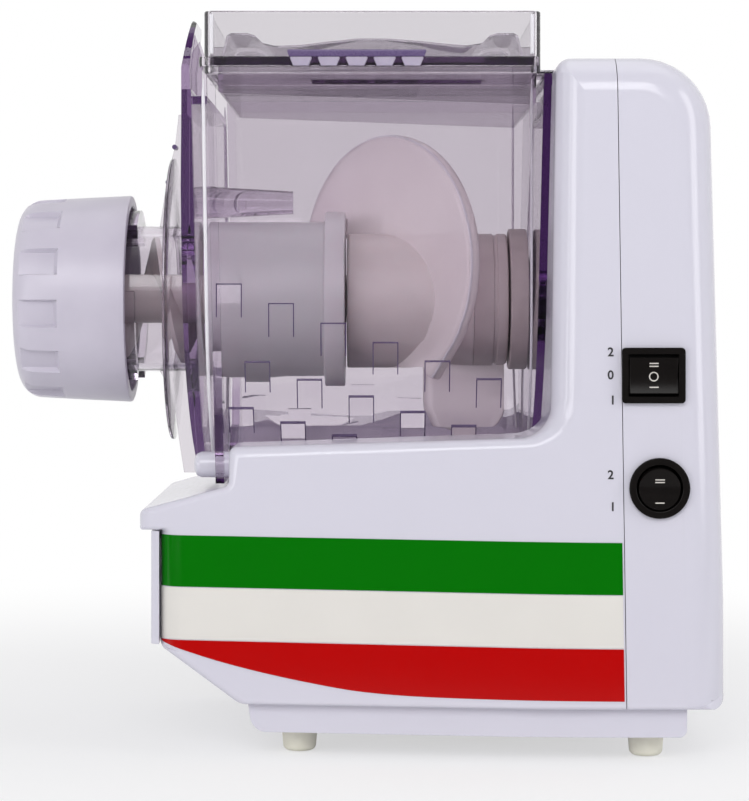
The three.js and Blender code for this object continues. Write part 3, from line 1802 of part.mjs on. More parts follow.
function modeSwitch() {
  const face = sideY - touchGap;
  const bezel = rodY(face - bezelOut, face, modeBezel, modeAcross, modeHeight, 40);
  const body = rodY(
    face - bezelOut / 2,
    sideY + powerBodyDepth,
    modeBody,
    modeAcross,
    modeHeight,
    32,
  );
  const opening = modeRocker + rockerGap * rockerRootShare;
  const outer = face - bezelOut;
  const pocket = rodY(outer - overrun, sideY + pocketDepth, opening, modeAcross, modeHeight, 40);
  piece("mode_switch_body", cut(join(bezel, body), pocket), darkColour, 0.3);
  const disc = rodY(
    outer - rockerDip,
    outer + rockerOut * 2,
    modeRocker,
    modeAcross,
    modeHeight,
    36,
  );
  const wedge = prismX(
    [
      corner(outer + rockerOut * 2, modeHeight + modeRocker * rockerRootShare),
      corner(outer - rockerDip, modeHeight + modeRocker + overrun),
      corner(outer + rockerDip * rockerDipShare, modeHeight),
      corner(outer - rockerDip, modeHeight - modeRocker - overrun),
      corner(outer + rockerOut * 2, modeHeight - modeRocker * rockerRootShare),
    ],
    modeAcross - wide,
    modeAcross + wide,
  );
  const pivotY = outer + rockerDeep;
  const level = common(disc, wedge).translate(0, -pivotY, -modeHeight);
  const tilted = level.rotate(modeTilt, 0, 0).translate(0, pivotY, modeHeight);
  piece("mode_rocker", tilted, darkColour, 0.25);
}

function interlockSwitch() {
  const x = towerFrontAt(towerTop) + wall + touchGap;
  const top = tabBottom - leverTop;
  const body = block(
    x,
    x + interlockLength,
    tabAcross - tabHalf,
    tabAcross + tabHalf,
    top - interlockHeight,
    top - wall,
  );
  const lever = block(
    x - tabThick - touchGap,
    x + overrun,
    tabAcross - tabHalf / 3,
    tabAcross + tabHalf / 3,
    top - wall - tabThick / 2,
    top,
  );
  piece("interlock_switch", join(body, lever), darkColour, 0.4);
}

function cordGland() {
  const lip = ringX(
    towerBack + touchGap,
    towerBack + glandOut,
    glandBore,
    glandLip,
    0,
    glandHeight,
    20,
  );
  const inWall = towerBack - wall - touchGap;
  const neckPart = ringX(
    inWall - wall,
    towerBack + glandOut / 2,
    glandBore,
    glandRadius,
    0,
    glandHeight,
    20,
  );
  piece("cord_gland", join(lip, neckPart), darkColour, 0.6);
}

frontHousing();
rearHousing();
basePlate();
feet();
screws();
stripes();
drawer();
studs();
mixingChamber();
chamberCollar();
lid();
frontPlate();
extrusionTube();
dieNut();
shapingDie();
auger();
mixingPaddle();
drive();
gearCase();
motor();
powerSwitch();
modeSwitch();
interlockSwitch();
cordGland();

export default root;
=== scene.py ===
"""Pasta machine: the visible pieces, finishes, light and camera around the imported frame."""

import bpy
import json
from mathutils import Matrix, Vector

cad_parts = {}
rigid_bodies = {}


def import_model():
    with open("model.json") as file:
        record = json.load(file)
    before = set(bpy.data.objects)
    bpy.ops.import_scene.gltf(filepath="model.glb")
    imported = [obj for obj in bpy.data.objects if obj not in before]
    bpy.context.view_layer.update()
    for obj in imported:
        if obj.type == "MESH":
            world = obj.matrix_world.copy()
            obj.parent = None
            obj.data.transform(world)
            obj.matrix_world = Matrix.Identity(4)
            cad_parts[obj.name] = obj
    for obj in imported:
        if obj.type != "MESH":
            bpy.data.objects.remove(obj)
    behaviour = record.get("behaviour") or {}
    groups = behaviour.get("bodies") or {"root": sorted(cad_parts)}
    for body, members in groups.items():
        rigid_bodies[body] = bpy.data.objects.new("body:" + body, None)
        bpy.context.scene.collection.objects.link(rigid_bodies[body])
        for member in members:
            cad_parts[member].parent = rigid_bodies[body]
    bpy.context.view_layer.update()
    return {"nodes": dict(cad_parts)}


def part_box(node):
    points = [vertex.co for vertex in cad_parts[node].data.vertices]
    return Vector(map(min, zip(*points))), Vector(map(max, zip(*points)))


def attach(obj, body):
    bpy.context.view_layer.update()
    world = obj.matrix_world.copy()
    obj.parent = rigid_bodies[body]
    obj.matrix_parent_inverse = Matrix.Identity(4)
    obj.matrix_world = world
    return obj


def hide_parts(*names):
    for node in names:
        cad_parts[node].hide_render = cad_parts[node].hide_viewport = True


bl_info = {
    "name": "Pasta Machine",
    "version": (1, 0, 0),
    "blender": (4, 5, 0),
    "location": "View3D > Sidebar > Pasta Machine",
    "description": "Builds the pieces and finishes of an electric pasta machine",
    "category": "Add Mesh",
}

import json
import math

import bmesh
import bpy
from mathutils import Matrix, Vector

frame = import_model()

MM = 0.001


def box_mm(node):
    """A node's lowest and highest corners, in millimetres."""
    return [[value / MM for value in at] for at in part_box(node)]


# Places read from the frame, in millimetres
AXIS = sum(at[2] for at in box_mm("extrusion_tube")) / 2  # height of the auger's axis
SPLIT_Z = box_mm("front_housing")[0][2]
BACK_X, WIDE, TOP_Z = box_mm("rear_housing")[1]  # WIDE is half the width at the tower
CHAMBER_TOP = box_mm("mixing_chamber")[1][2]
NOSE_X = box_mm("drawer")[0][0] + 5.5  # front of the drawer's frame
STEP_X = NOSE_X + 26.7
LIP_X = NOSE_X - 8
TOWER_X = BACK_X - 65.8  # front of the tower, at the axis
SEAM_X = TOWER_X + 23.8
FLANGE_FRONT = TOWER_X - 130.8
TROUGH = 70.0  # radius of the chamber's trough


# Colours


def linear(code):
    """A colour written as an sRGB hex value, as linear light."""
    parts = [int(code[i : i + 2], 16) / 255 for i in (0, 2, 4)]
    return tuple(p / 12.92 if p <= 0.04045 else ((p + 0.055) / 1.055) ** 2.4 for p in parts)


def solid_colour(code):
    return (*linear(code), 1)


def shade(colour, factor):
    return tuple(min(1.0, c * factor) for c in colour)


# Settings


def colour_setting(name, description, code):
    return bpy.props.FloatVectorProperty(
        name=name,
        description=description,
        subtype="COLOR",
        size=3,
        min=0,
        max=1,
        default=linear(code),
    )


def length_setting(name, description, default, low, high):
    return bpy.props.FloatProperty(
        name=name, description=description, unit="LENGTH", default=default, min=low, max=high
    )


class FinishSettings(bpy.types.PropertyGroup):
    """Colours of the machine's plastics."""

    shell: colour_setting("Housing", "Colour of the housing's polished plastic", "D0CED9")
    clear: colour_setting(
        "Clear plastic", "Tint of the clear chamber, lid and front plate in their depth", "9A52B2"
    )
    stripe_top: colour_setting("Top stripe", "Colour of the upper stripe", "006E00")
    stripe_middle: colour_setting("Middle stripe", "Colour of the middle stripe", "DDDAD4")
    stripe_bottom: colour_setting("Bottom stripe", "Colour of the lower stripe", "B40000")


class SizeSettings(bpy.types.PropertyGroup):
    """Sizes of the machine's rounds and details."""

    tower_edge: length_setting(
        "Tower front edge", "Radius of the tower's upright front edges", 0.011, 0.001, 0.014
    )
    shoulder: length_setting(
        "Base shoulder", "Radius of the base's upper edge at its front", 0.005, 0.001, 0.012
    )
    clear_edge: length_setting(
        "Clear edge", "Radius of the edges of the clear pieces", 0.0006, 0.0001, 0.001
    )
    flutes: bpy.props.IntProperty(
        name="Nut flutes",
        description="Number of grip flutes round the nut",
        default=12,
        min=3,
        max=24,
    )


# Nodes of the materials


def add_node(tree, kind, settings=None, values=None, links=None):
    """Adds a node with its settings, socket values and links from other sockets."""
    made = tree.nodes.new(kind)
    for key, value in (settings or {}).items():
        setattr(made, key, value)
    for key, value in (values or {}).items():
        made.inputs[key].default_value = value
    for key, source in (links or {}).items():
        tree.links.new(source, made.inputs[key])
    return made


def new_material(name):
    made = bpy.data.materials.new(name)
    made.use_nodes = True
    made.node_tree.nodes.clear()
    return made, made.node_tree


def grain(tree, spacing_mm, detail=2.0):
    """A noise whose grains are about this far apart on the real piece."""
    place_on_piece = add_node(tree, "ShaderNodeTexCoord")
    scaled = add_node(
        tree,
        "ShaderNodeMapping",
        values={"Scale": (1 / (spacing_mm * MM),) * 3},
        links={"Vector": place_on_piece.outputs["Object"]},
    )
    return add_node(
        tree,
        "ShaderNodeTexNoise",
        values={"Scale": 1.0, "Detail": detail, "Roughness": 0.5},
        links={"Vector": scaled.outputs["Vector"]},
    ).outputs["Fac"]


def two_tones(tree, factor, first, second):
    """A colour between two, by a factor."""
    return add_node(
        tree,
        "ShaderNodeMix",
        {"data_type": "RGBA"},
        {"A": (*first, 1), "B": (*second, 1)},
        {"Factor": factor},
    ).outputs["Result"]


def ranged(tree, value, source, result, kind="LINEAR"):
    """A value moved from one range to another."""
    return add_node(
        tree,
        "ShaderNodeMapRange",
        {"interpolation_type": kind},
        {
            "From Min": source[0],
            "From Max": source[1],
            "To Min": result[0],
            "To Max": result[1],
        },
        {"Value": value},
    ).outputs["Result"]


def reckoned(tree, operation, first, second):
    return add_node(
        tree, "ShaderNodeMath", {"operation": operation}, links={0: first, 1: second}
    ).outputs["Value"]


def mixed(tree, factor, first, second):
    """A shader between two, by a factor."""
    return add_node(
        tree, "ShaderNodeMixShader", links={0: factor, 1: first, 2: second}
    ).outputs["Shader"]


MATERIALS = {}


def moulded(key, name, tones, gloss, texture, values):
    """Makes a finish of two close colours in slow patches, a faint skin and uneven gloss. Its
    texture is the grain's spacing, the grain's height and the patches' size, in millimetres."""
    spacing, height, patch = texture
    made, tree = new_material(name)
    colour = two_tones(tree, grain(tree, patch), *tones)
    pores = grain(tree, spacing, detail=3.0)
    bump = add_node(
        tree,
        "ShaderNodeBump",
        values={"Strength": 0.6, "Distance": height * MM},
        links={"Height": pores},
    )
    surface = add_node(
        tree,
        "ShaderNodeBsdfPrincipled",
        values=values,
        links={
            "Base Color": colour,
            "Roughness": ranged(tree, pores, (0.0, 1.0), gloss),
            "Normal": bump.outputs["Normal"],
        },
    )
    out = add_node(tree, "ShaderNodeOutputMaterial", links={"Surface": surface.outputs["BSDF"]})
    MATERIALS[key] = made
    return tree, out


def let_lamps_through(tree, out, code):
    """Lets the lamps' light through a clear surface, so that what is inside is lit."""
    surface = out.inputs["Surface"].links[0].from_socket
    path = add_node(tree, "ShaderNodeLightPath")
    film = add_node(tree, "ShaderNodeBsdfTransparent", values={"Color": solid_colour(code)})
    both = mixed(tree, path.outputs["Is Shadow Ray"], surface, film.outputs["BSDF"])
    tree.links.new(both, out.inputs["Surface"])


# Finishes: key, name, two close colours, roughness from and to, texture, and the shader's
# other values.
FINISHES = (
    # Clear plastic with a spark-eroded grip: frosted, pale violet, catching the light.
    ("frosted", "frosted_polycarbonate", ("D6CEDE", "BFB4CC"), (0.3, 0.45), (0.8, 0.03, 4),
     {"Transmission Weight": 0.5, "IOR": 1.5}),
    # The same clear plastic made near-white: painted highlight on beads, rims and the ends of
    # walls, where the lamps' light gathers on the edges.
    ("painted_highlight", "painted_highlight_clear", ("FAF8FC", "F1EEF5"), (0.08, 0.16), (3, 0.01, 7),
     {"IOR": 1.5, "Transmission Weight": 0.25}),
    # Dark violet for thin lines on the clear wall: painted shade, standing in for sharp steps that
    # turn the light away.
    ("painted_shade_line", "painted_shade_violet", ("6A5A80", "584870"), (0.2, 0.35), (0.6, 0.01, 5),
     {"IOR": 1.5}),
    # Filled polypropylene of the paddle's hub: grey-brown, dull, slightly cloudy.
    ("hub", "filled_polypropylene", ("CABFBE", "BBB0AE"), (0.36, 0.5), (1, 0.015, 9),
     {"IOR": 1.49, "Subsurface Weight": 0.1, "Subsurface Radius": (0.004, 0.003, 0.003)}),
    # The same plastic with less filler, for the sleeve and the auger: paler and cloudier.
    ("hub_pale", "cloudy_polypropylene", ("E2D9D7", "D5CCCA"), (0.34, 0.48), (1, 0.015, 9),
     {"IOR": 1.49, "Subsurface Weight": 0.35, "Subsurface Radius": (0.01, 0.008, 0.008)}),
    # Thin natural polypropylene: shapes behind it show softly, and its rims shine.
    ("milky_thin", "thin_polypropylene", ("FDF8F7", "F7F1F0"), (0.08, 0.18), (3, 0.02, 16),
     {"IOR": 1.35, "Transmission Weight": 0.4}),
    # Natural polypropylene, moulded: milky, lets light through without showing shapes.
    ("milky", "natural_polypropylene", ("EBE7E9", "E1DCDE"), (0.34, 0.46), (1.2, 0.012, 14),
     {"IOR": 1.49, "Transmission Weight": 0.15, "Subsurface Weight": 0.6,
      "Subsurface Radius": (0.02, 0.016, 0.017), "Subsurface Scale": 0.8}),
    # Moulded acetal of the nut: dense and silky, with a soft highlight.
    ("nut", "moulded_acetal", ("C9C4D0", "C0BBC8"), (0.26, 0.36), (0.9, 0.01, 12),
     {"IOR": 1.48, "Subsurface Weight": 0.1, "Subsurface Radius": (0.004, 0.004, 0.004)}),
    # Glass-filled nylon: greyish, dull, slightly cloudy from the fibres in it.
    ("grey", "glass_filled_nylon", ("C5B9B7", "B3A8A6"), (0.42, 0.58), (0.8, 0.02, 5),
     {"IOR": 1.53}),
    # Moulded black nylon of the switches: dark and satin, with a fine even skin.
    ("dark", "black_nylon", ("181514", "12100F"), (0.2, 0.3), (0.5, 0.012, 6),
     {"IOR": 1.53, "Specular IOR Level": 0.14}),
    # Pad-printed ink: flat and slightly raised, dull at its edges.
    ("ink", "printed_ink", ("2A282C", "343136"), (0.45, 0.6), (0.4, 0.006, 2), {"IOR": 1.5}),
    # White ink of the same kind for the rockers' marks, slightly soiled by use.
    ("mark", "white_marking_ink", ("D9D5CF", "BDB8B0"), (0.45, 0.6), (0.4, 0.006, 2),
     {"IOR": 1.5}),
    # Moulded natural rubber of the feet: cream, dull, with fine dust and scuffs.
    ("foot", "moulded_rubber", ("F0EEDF", "E2DFCD"), (0.7, 0.85), (0.7, 0.05, 4), {"IOR": 1.52}),
    # Rolled zinc-plated steel: bright grey with faint streaks.
    ("steel", "zinc_plated_steel", ("B9BBC0", "A2A4A9"), (0.25, 0.38), (0.6, 0.01, 3),
     {"Metallic": 1.0}),
    # Turned brass: warm yellow with a satin cut.
    ("brass", "turned_brass", ("C4A45A", "B08F47"), (0.25, 0.36), (0.5, 0.01, 3),
     {"Metallic": 1.0}),
    # Varnished copper wire, wound: reddish with a wire's ripple, drawn 1.2 mm apart.
    ("winding", "varnished_copper", ("A5582F", "7E3D1C"), (0.3, 0.42), (1.2, 0.2, 4),
     {"Metallic": 0.6, "Coat Weight": 0.5, "Coat Roughness": 0.15}),
    # Sintered iron laminations: dark grey and dull.
    ("iron", "sintered_iron", ("77787C", "606166"), (0.45, 0.6), (0.8, 0.05, 4),
     {"Metallic": 0.9}),
)
# What the lamps' light keeps of its colour on its way through two of the finishes
FILMS = {"frosted": "E6E0EA", "milky_thin": "EFEAEE"}
# Clear pieces by their depth: key, density of the tint, clearness, colour of the face. The front
# plate and the thin walls of the lid hold less of the tint, painted light that keeps them pale,
# and the plate's ear more, painted shade that darkens it.
CLEAR_DEPTHS = (
    ("clear", 30.0, 1.0, "ECE9EC"),
    ("clear_mid", 26.0, 0.98, "ECE9EC"),
    ("clear_thin", 3.0, 0.98, "DEDADF"),
    ("clear_dish", 1.0, 0.8, "F5F3F6"),
    ("clear_ear_painted_shade", 80.0, 1.0, "ECE9EC"),
)


def clear_plastic(key, density, clearness, code, tint):
    """Clear tinted polycarbonate, moulded and polished: water-clear faces whose edges turn
    violet, because light runs a long way inside the wall before it gets out there."""
    tones = (linear(code), shade(linear(code), 0.97))
    values = {"Transmission Weight": clearness, "IOR": 1.5}
    name = "polycarbonate_" + key
    tree, out = moulded(key, name, tones, (0.01, 0.03), (9, 0.006, 30), values)
    depth = add_node(
        tree, "ShaderNodeVolumeAbsorption", values={"Color": (*tint, 1), "Density": density}
    )
    tree.links.new(depth.outputs["Volume"], out.inputs["Volume"])
    let_lamps_through(tree, out, "FDFCFD")


def make_materials(finish):
    """All the finishes of the machine, by name."""
    shell = tuple(finish.shell)
    # Injection-moulded ABS from a polished mould: pale, even and glossy, with a faint skin.
    tones = (shell, shade(shell, 0.985))
    moulded("shell", "polished_abs", tones, (0.1, 0.2), (1.6, 0.002, 30), {"IOR": 1.54})
    # The same plastic from an etched mould: soft, with a fine grain. The grain is drawn at
    # 0.9 mm, coarser than the real 0.3 mm, so that it shows.
    tones = (shell, shade(shell, 0.97))
    moulded("shell_matt", "etched_abs", tones, (0.38, 0.5), (0.9, 0.02, 30), {"IOR": 1.54})
    # Printed vinyl film under a clear varnish: saturated colour with a sharp gloss.
    varnish = {"IOR": 1.5, "Specular IOR Level": 0.3}
    stripes = (finish.stripe_top, finish.stripe_middle, finish.stripe_bottom)
    for key, colour in zip(("green", "white", "red"), stripes):
        tones = (tuple(colour), shade(colour, 0.95))
        moulded(key, f"varnished_vinyl_{key}", tones, (0.1, 0.16), (2.5, 0.001, 18), varnish)
    for depth in CLEAR_DEPTHS:
        clear_plastic(*depth, tuple(finish.clear))
    for key, name, codes, gloss, texture, values in FINISHES:
        tones = [linear(code) for code in codes]
        tree, out = moulded(key, name, tones, gloss, texture, values)
        if key in FILMS:
            let_lamps_through(tree, out, FILMS[key])


# Meshes: the helpers take millimetres and make objects in metres.


def linked(name, data):
    """A new object in the scene."""
    made = bpy.data.objects.new(name, data)
    bpy.context.scene.collection.objects.link(made)
    return made


def mesh_object(bm, name, material):
    """An object of a bmesh in metres, which is used up."""
    made = linked(name, bpy.data.meshes.new(name))
    bm.to_mesh(made.data)
    bm.free()
    made.data.materials.append(material)
    return made


def object_from(bm, name, material, smooth_degrees=35):
    """Turns a bmesh in millimetres into an object in metres with smooth shading by angle."""
    bmesh.ops.remove_doubles(bm, verts=bm.verts, dist=1e-4)
    bm.normal_update()
    if bm.calc_volume(signed=True) < 0:
        bmesh.ops.reverse_faces(bm, faces=bm.faces)
    bmesh.ops.scale(bm, vec=(MM, MM, MM), verts=bm.verts)
    made = mesh_object(bm, name, material)
    shade_smooth(made, smooth_degrees)
    return made


def shade_smooth(obj, degrees=35):
    mesh = obj.data
    mesh.polygons.foreach_set("use_smooth", [True] * len(mesh.polygons))
    mesh.set_sharp_from_angle(angle=math.radians(degrees))


def evaluated(obj):
    """An object as its modifiers leave it."""
    graph = bpy.context.evaluated_depsgraph_get()
    graph.update()
    return obj.evaluated_get(graph)


def apply_modifiers(obj):
    made = bpy.data.meshes.new_from_object(evaluated(obj))
    obj.modifiers.clear()
    old = obj.data
    obj.data = made
    bpy.data.meshes.remove(old)


def combine(obj, tools, operation="DIFFERENCE"):
    """Cuts, joins or keeps the shared part of an object with others, which are used up."""
    for tool in tools:
        step = obj.modifiers.new("combine", "BOOLEAN")
        step.operation = operation
        step.solver = "EXACT"
        step.object = tool
    apply_modifiers(obj)
    for tool in tools:
        mesh = tool.data
        bpy.data.objects.remove(tool)
        bpy.data.meshes.remove(mesh)
    return obj


def weigh_normals(obj, degrees=35):
    """Keeps large flat faces flat next to rounded edges."""
    shade_smooth(obj, degrees)
    step = obj.modifiers.new("weighted normals", "WEIGHTED_NORMAL")
    step.keep_sharp = True
    step.weight = 80


def soften(obj, width_mm, segments=2):
    """Rounds the edges that turn by more than 30 degrees."""
    step = obj.modifiers.new("edge round", "BEVEL")
    step.width = width_mm * MM
    step.segments = segments
    step.limit_method = "ANGLE"
    step.angle_limit = math.radians(30)
    step.use_clamp_overlap = True
    step.harden_normals = False
    step.miter_outer = "MITER_ARC"
    apply_modifiers(obj)
    weigh_normals(obj)


# Outlines


def corner(x, y, round_by=0.0):
    return (x, y, round_by)


def quad(low, high):
    """Four corners from a lower and an upper side: each its start, end, height and round."""
    (a, b, y0, r0), (c, d, y1, r1) = low, high
    return [corner(a, y0, r0), corner(b, y0, r0), corner(d, y1, r1), corner(c, y1, r1)]


def rect(x0, x1, y0, y1, round_by=0.0):
    return quad((x0, x1, y0, round_by), (x0, x1, y1, round_by))


def line_offsets(corners, offsets):
    """The corners of an outline whose lines are moved in, each by its start and end offset."""
    count = len(corners)
    lines = []
    for i in range(count):
        a = Vector(corners[i][:2])
        b = Vector(corners[(i + 1) % count][:2])
        along = (b - a).normalized()
        inward = Vector((-along.y, along.x))
        start, end = offsets[i]
        p, q = a + inward * start, b + inward * end
        lines.append((p, (q - p).normalized()))
    moved = []
    for i in range(count):
        (p, u), (q, v) = lines[i - 1], lines[i]
        moved.append(p + u * ((q - p).cross(v) / u.cross(v)))
    return moved


def rounded_points(corners, step_degrees=9.0, counts=None):
    """The points of an outline whose corners are arcs, and the steps of each arc. Counts fix
    the arcs' steps."""
    points, used = [], []
    for i, (x, y, radius) in enumerate(corners):
        at = Vector((x, y))
        back = Vector(corners[i - 1][:2]) - at
        on = Vector(corners[(i + 1) % len(corners)][:2]) - at
        room = min(back.length, on.length) / 2
        back.normalize()
        on.normalize()
        angle = math.acos(max(-1.0, min(1.0, back.dot(on))))
        reach = min(radius / math.tan(angle / 2), room) if angle < math.pi - 1e-3 else 0
        steps = counts[i] if counts else 0
        if not counts and reach > 0:
            steps = max(1, math.ceil(math.degrees(math.pi - angle) / step_degrees))
        used.append(steps)
        if steps == 0 or reach <= 0:
            points.extend([at.copy() for _ in range(steps + 1)])
            continue
        radius = reach * math.tan(angle / 2)
        centre = at + (back + on).normalized() * (radius / math.sin(angle / 2))
        start = at + back * reach - centre
        end = at + on * reach - centre
        sweep = math.atan2(start.cross(end), start.dot(end))
        for k in range(steps + 1):
            turn = sweep * k / steps
            c, s = math.cos(turn), math.sin(turn)
            points.append(centre + Vector((start.x * c - start.y * s, start.x * s + start.y * c)))
    return points, used


# Bodies made of outlines


def skin(bm, rings, endless=False):
    """Faces between rings of equally many points. A face closes each end, or the last ring
    joins the first where it is endless."""
    rows = [[bm.verts.new(point) for point in ring] for ring in rings]
    for low, high in zip(rows, rows[1:] + (rows[:1] if endless else [])):
        for i in range(len(low)):
            j = (i + 1) % len(low)
            bm.faces.new((low[i], low[j], high[j], high[i]))
    if not endless:
        bm.faces.new(list(reversed(rows[0])))
        bm.faces.new(rows[-1])


def skinned(name, rings, material, smooth_degrees=35, endless=False):
    bm = bmesh.new()
    skin(bm, rings, endless)
    return object_from(bm, name, material, smooth_degrees)


def slab(name, corners, edges, half, material, steps=9):
    """A body seen from the side: an outline in X and Z, drawn out along Y between rounded edges.
    Each line of the outline has its own edge radius, at its start and at its end."""
    _, counts = rounded_points(corners)
    rings = []
    for k in range(steps, -1, -1):
        turn = math.pi / 2 * k / steps
        inward, outward = 1 - math.cos(turn), 1 - math.sin(turn)
        moved = line_offsets(corners, [(a * inward, b * inward) for a, b in edges])
        ring, outs = [], []
        for i, at in enumerate(moved):
            a, b, c = (Vector(corners[j % len(corners)][:2]) for j in (i - 1, i, i + 1))
            convex = (b - a).cross(c - b) > 0
            mean = (edges[i - 1][1] + edges[i][0]) / 2 * inward
            radius = max(corners[i][2] - mean, 0.0) if convex else corners[i][2] + mean
            ring.append(corner(at.x, at.y, radius))
            for s in range(counts[i] + 1):
                share = s / counts[i] if counts[i] else 0.5
                edge = edges[i - 1][1] * (1 - share) + edges[i][0] * share
                outs.append(half - edge * outward)
        points, _ = rounded_points(ring, counts=counts)
        rings.append([(p.x, -y, p.y) for p, y in zip(points, outs)])
    rings += [[(x, -y, z) for x, y, z in ring] for ring in reversed(rings)]
    return skinned(name, rings, material)


def place(axis, along, a, b):
    """A point by its distance along an axis and its two other coordinates in order."""
    return {"X": (along, a, b), "Y": (a, along, b), "Z": (a, b, along)}[axis]


def prism(name, outline, low, high, axis, material, step_degrees=9.0, edge=0.0):
    """An outline of rounded corners drawn out along an axis, with a small round on its ends."""
    _, counts = rounded_points(outline, step_degrees)
    levels = [(low, 0.0), (high, 0.0)]
    if edge > 0:
        turns = [math.pi / 2 * k / 3 for k in range(4)]
        first = [(low + edge * (1 - math.sin(t)), edge * (1 - math.cos(t))) for t in turns]
        levels = first[::-1] + [(high - (level - low), inset) for level, inset in first]
    rings = []
    for level, inset in levels:
        moved = line_offsets(outline, [(inset, inset)] * len(outline))
        rounds = [max(source[2] - inset, 0.0) for source in outline]
        ring = [corner(at.x, at.y, round_by) for at, round_by in zip(moved, rounds)]
        points, _ = rounded_points(ring, counts=counts)
        rings.append([place(axis, level, p.x, p.y) for p in points])
    return skinned(name, rings, material)


def block(name, x0, x1, y0, y1, z0, z1, material, edge=0.0):
    return prism(name, rect(x0, x1, y0, y1), z0, z1, "Z", material, edge=edge)


def lathe(name, profile, material, axis="X", centre=(0, 0, 0), sides=96):
    """Turns a closed profile of (distance along, radius) about an axis."""
    bm = bmesh.new()
    rows = []
    for along, radius in profile:
        row = []
        for i in range(sides if radius >= 1e-6 else 1):
            turn = 2 * math.pi * (i / sides)
            at = place(axis, along, radius * math.cos(turn), radius * math.sin(turn))
            row.append(bm.verts.new([a + b for a, b in zip(centre, at)]))
        rows.append(row)
    for low, high in zip(rows, rows[1:] + rows[:1]):
        if len(low) == len(high) == 1:
            continue
        for i in range(sides):
            j = (i + 1) % sides
            if len(low) == 1:
                bm.faces.new((low[0], high[j], high[i]))
            elif len(high) == 1:
                bm.faces.new((low[i], low[j], high[0]))
            else:
                bm.faces.new((low[i], low[j], high[j], high[i]))
    return object_from(bm, name, material)


def soft_profile(points, rounds, steps=4):
    """A closed profile with its corners rounded, for the lathe."""
    outline = [corner(*point, round_by) for point, round_by in zip(points, rounds)]
    made, _ = rounded_points(outline, 90.0 / steps)
    return [(p.x, p.y) for p in made]


def rod(name, x0, x1, radius, y, z, material, sides=96):
    """A round bar along X."""
    profile = [(x0, 0), (x1, 0), (x1, radius), (x0, radius)]
    return lathe(name, profile, material, "X", (0, y, z), sides)


def bar_y(name, y0, y1, radius, x, z, material, sides=64):
    """A round bar along Y."""
    profile = [(y0, 0), (y1, 0), (y1, radius), (y0, radius)]
    return lathe(name, profile, material, "Y", (x, 0, z), sides)


def refined(node, material, edge_mm):
    """A piece made from a node's own shape, with clean faces and rounded edges."""
    bm = bmesh.new()
    bm.from_mesh(frame["nodes"][node].data)
    bmesh.ops.remove_doubles(bm, verts=bm.verts, dist=2e-6)
    bmesh.ops.dissolve_limit(
        bm, angle_limit=math.radians(1), verts=bm.verts, edges=bm.edges, delimit=set()
    )
    made = mesh_object(bm, node + "_finished", material)
    if edge_mm > 0:
        soften(made, edge_mm)
    else:
        weigh_normals(made)
    return made


def settle(obj, body, slot, *nodes):
    """Puts a piece on its body and hides the nodes that it stands for."""
    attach(obj, body)
    if nodes:
        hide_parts(*nodes)
    return obj


# Housing

WALL = 3
NOSE_HALF = 77.0  # half the width at the drawer
BEND_RADIUS = 300.0  # of the soft bend in the sides
NOSE_ROUND = 9.0  # of the base's upright front corners
TOWER_LEAN, SEAM_LEAN = 0.0143, 3.6  # a share of the height, and the whole of the seam's
CRADLE = 73.3  # radius of the hollow that the chamber lies in
# Heights on the base's front, from below, and of the tower's foot
NOSE_LOW, LIP_LOW, LIP_TOP, SHELF_FRONT, SHELF_BACK, TOWER_FOOT = 42.5, 87, 94.5, 104, 119, 123.4
SEAM_GAP = 0.15
MOUTH_HALF, MOUTH_LOW, MOUTH_TOP = 68.4, 44.5, 84  # of the drawer
SHAFT_HOLE, GLAND_HOLE, GLAND_Z = 12, 7.3, 48.6  # two radii and a height
NOTCH = (-61.4, -38.6, 244.7, 272)  # for the lid's tab: across, then up
VENTS, VENT_LOW, VENT_STEP, VENT_HALF, VENT_TALL, VENT_ROUND = 6, 178, 6.4, 34, 2.8, 1.3
BEZEL_COVER = 1.3  # of a switch's bezel over the rim of its hole


def width_at(x):
    """Half the machine's width: even at the tower, then narrowing after a soft bend."""
    slope = (WIDE - NOSE_HALF) / (TOWER_X - NOSE_X)
    start = TOWER_X + BEND_RADIUS * math.tan(math.atan(slope) / 2)
    end = start - BEND_RADIUS * math.sin(math.atan(slope))
    if x >= start:
        return WIDE
    if x > end:
        return WIDE - BEND_RADIUS + math.sqrt(BEND_RADIUS**2 - (start - x) ** 2)
    return WIDE - slope * (TOWER_X - x)


def tower_front(z):
    return TOWER_X + TOWER_LEAN * (z - AXIS)


def seam_at(z):
    return SEAM_X + SEAM_LEAN * (TOP_Z - z) / (TOP_Z - SPLIT_Z)


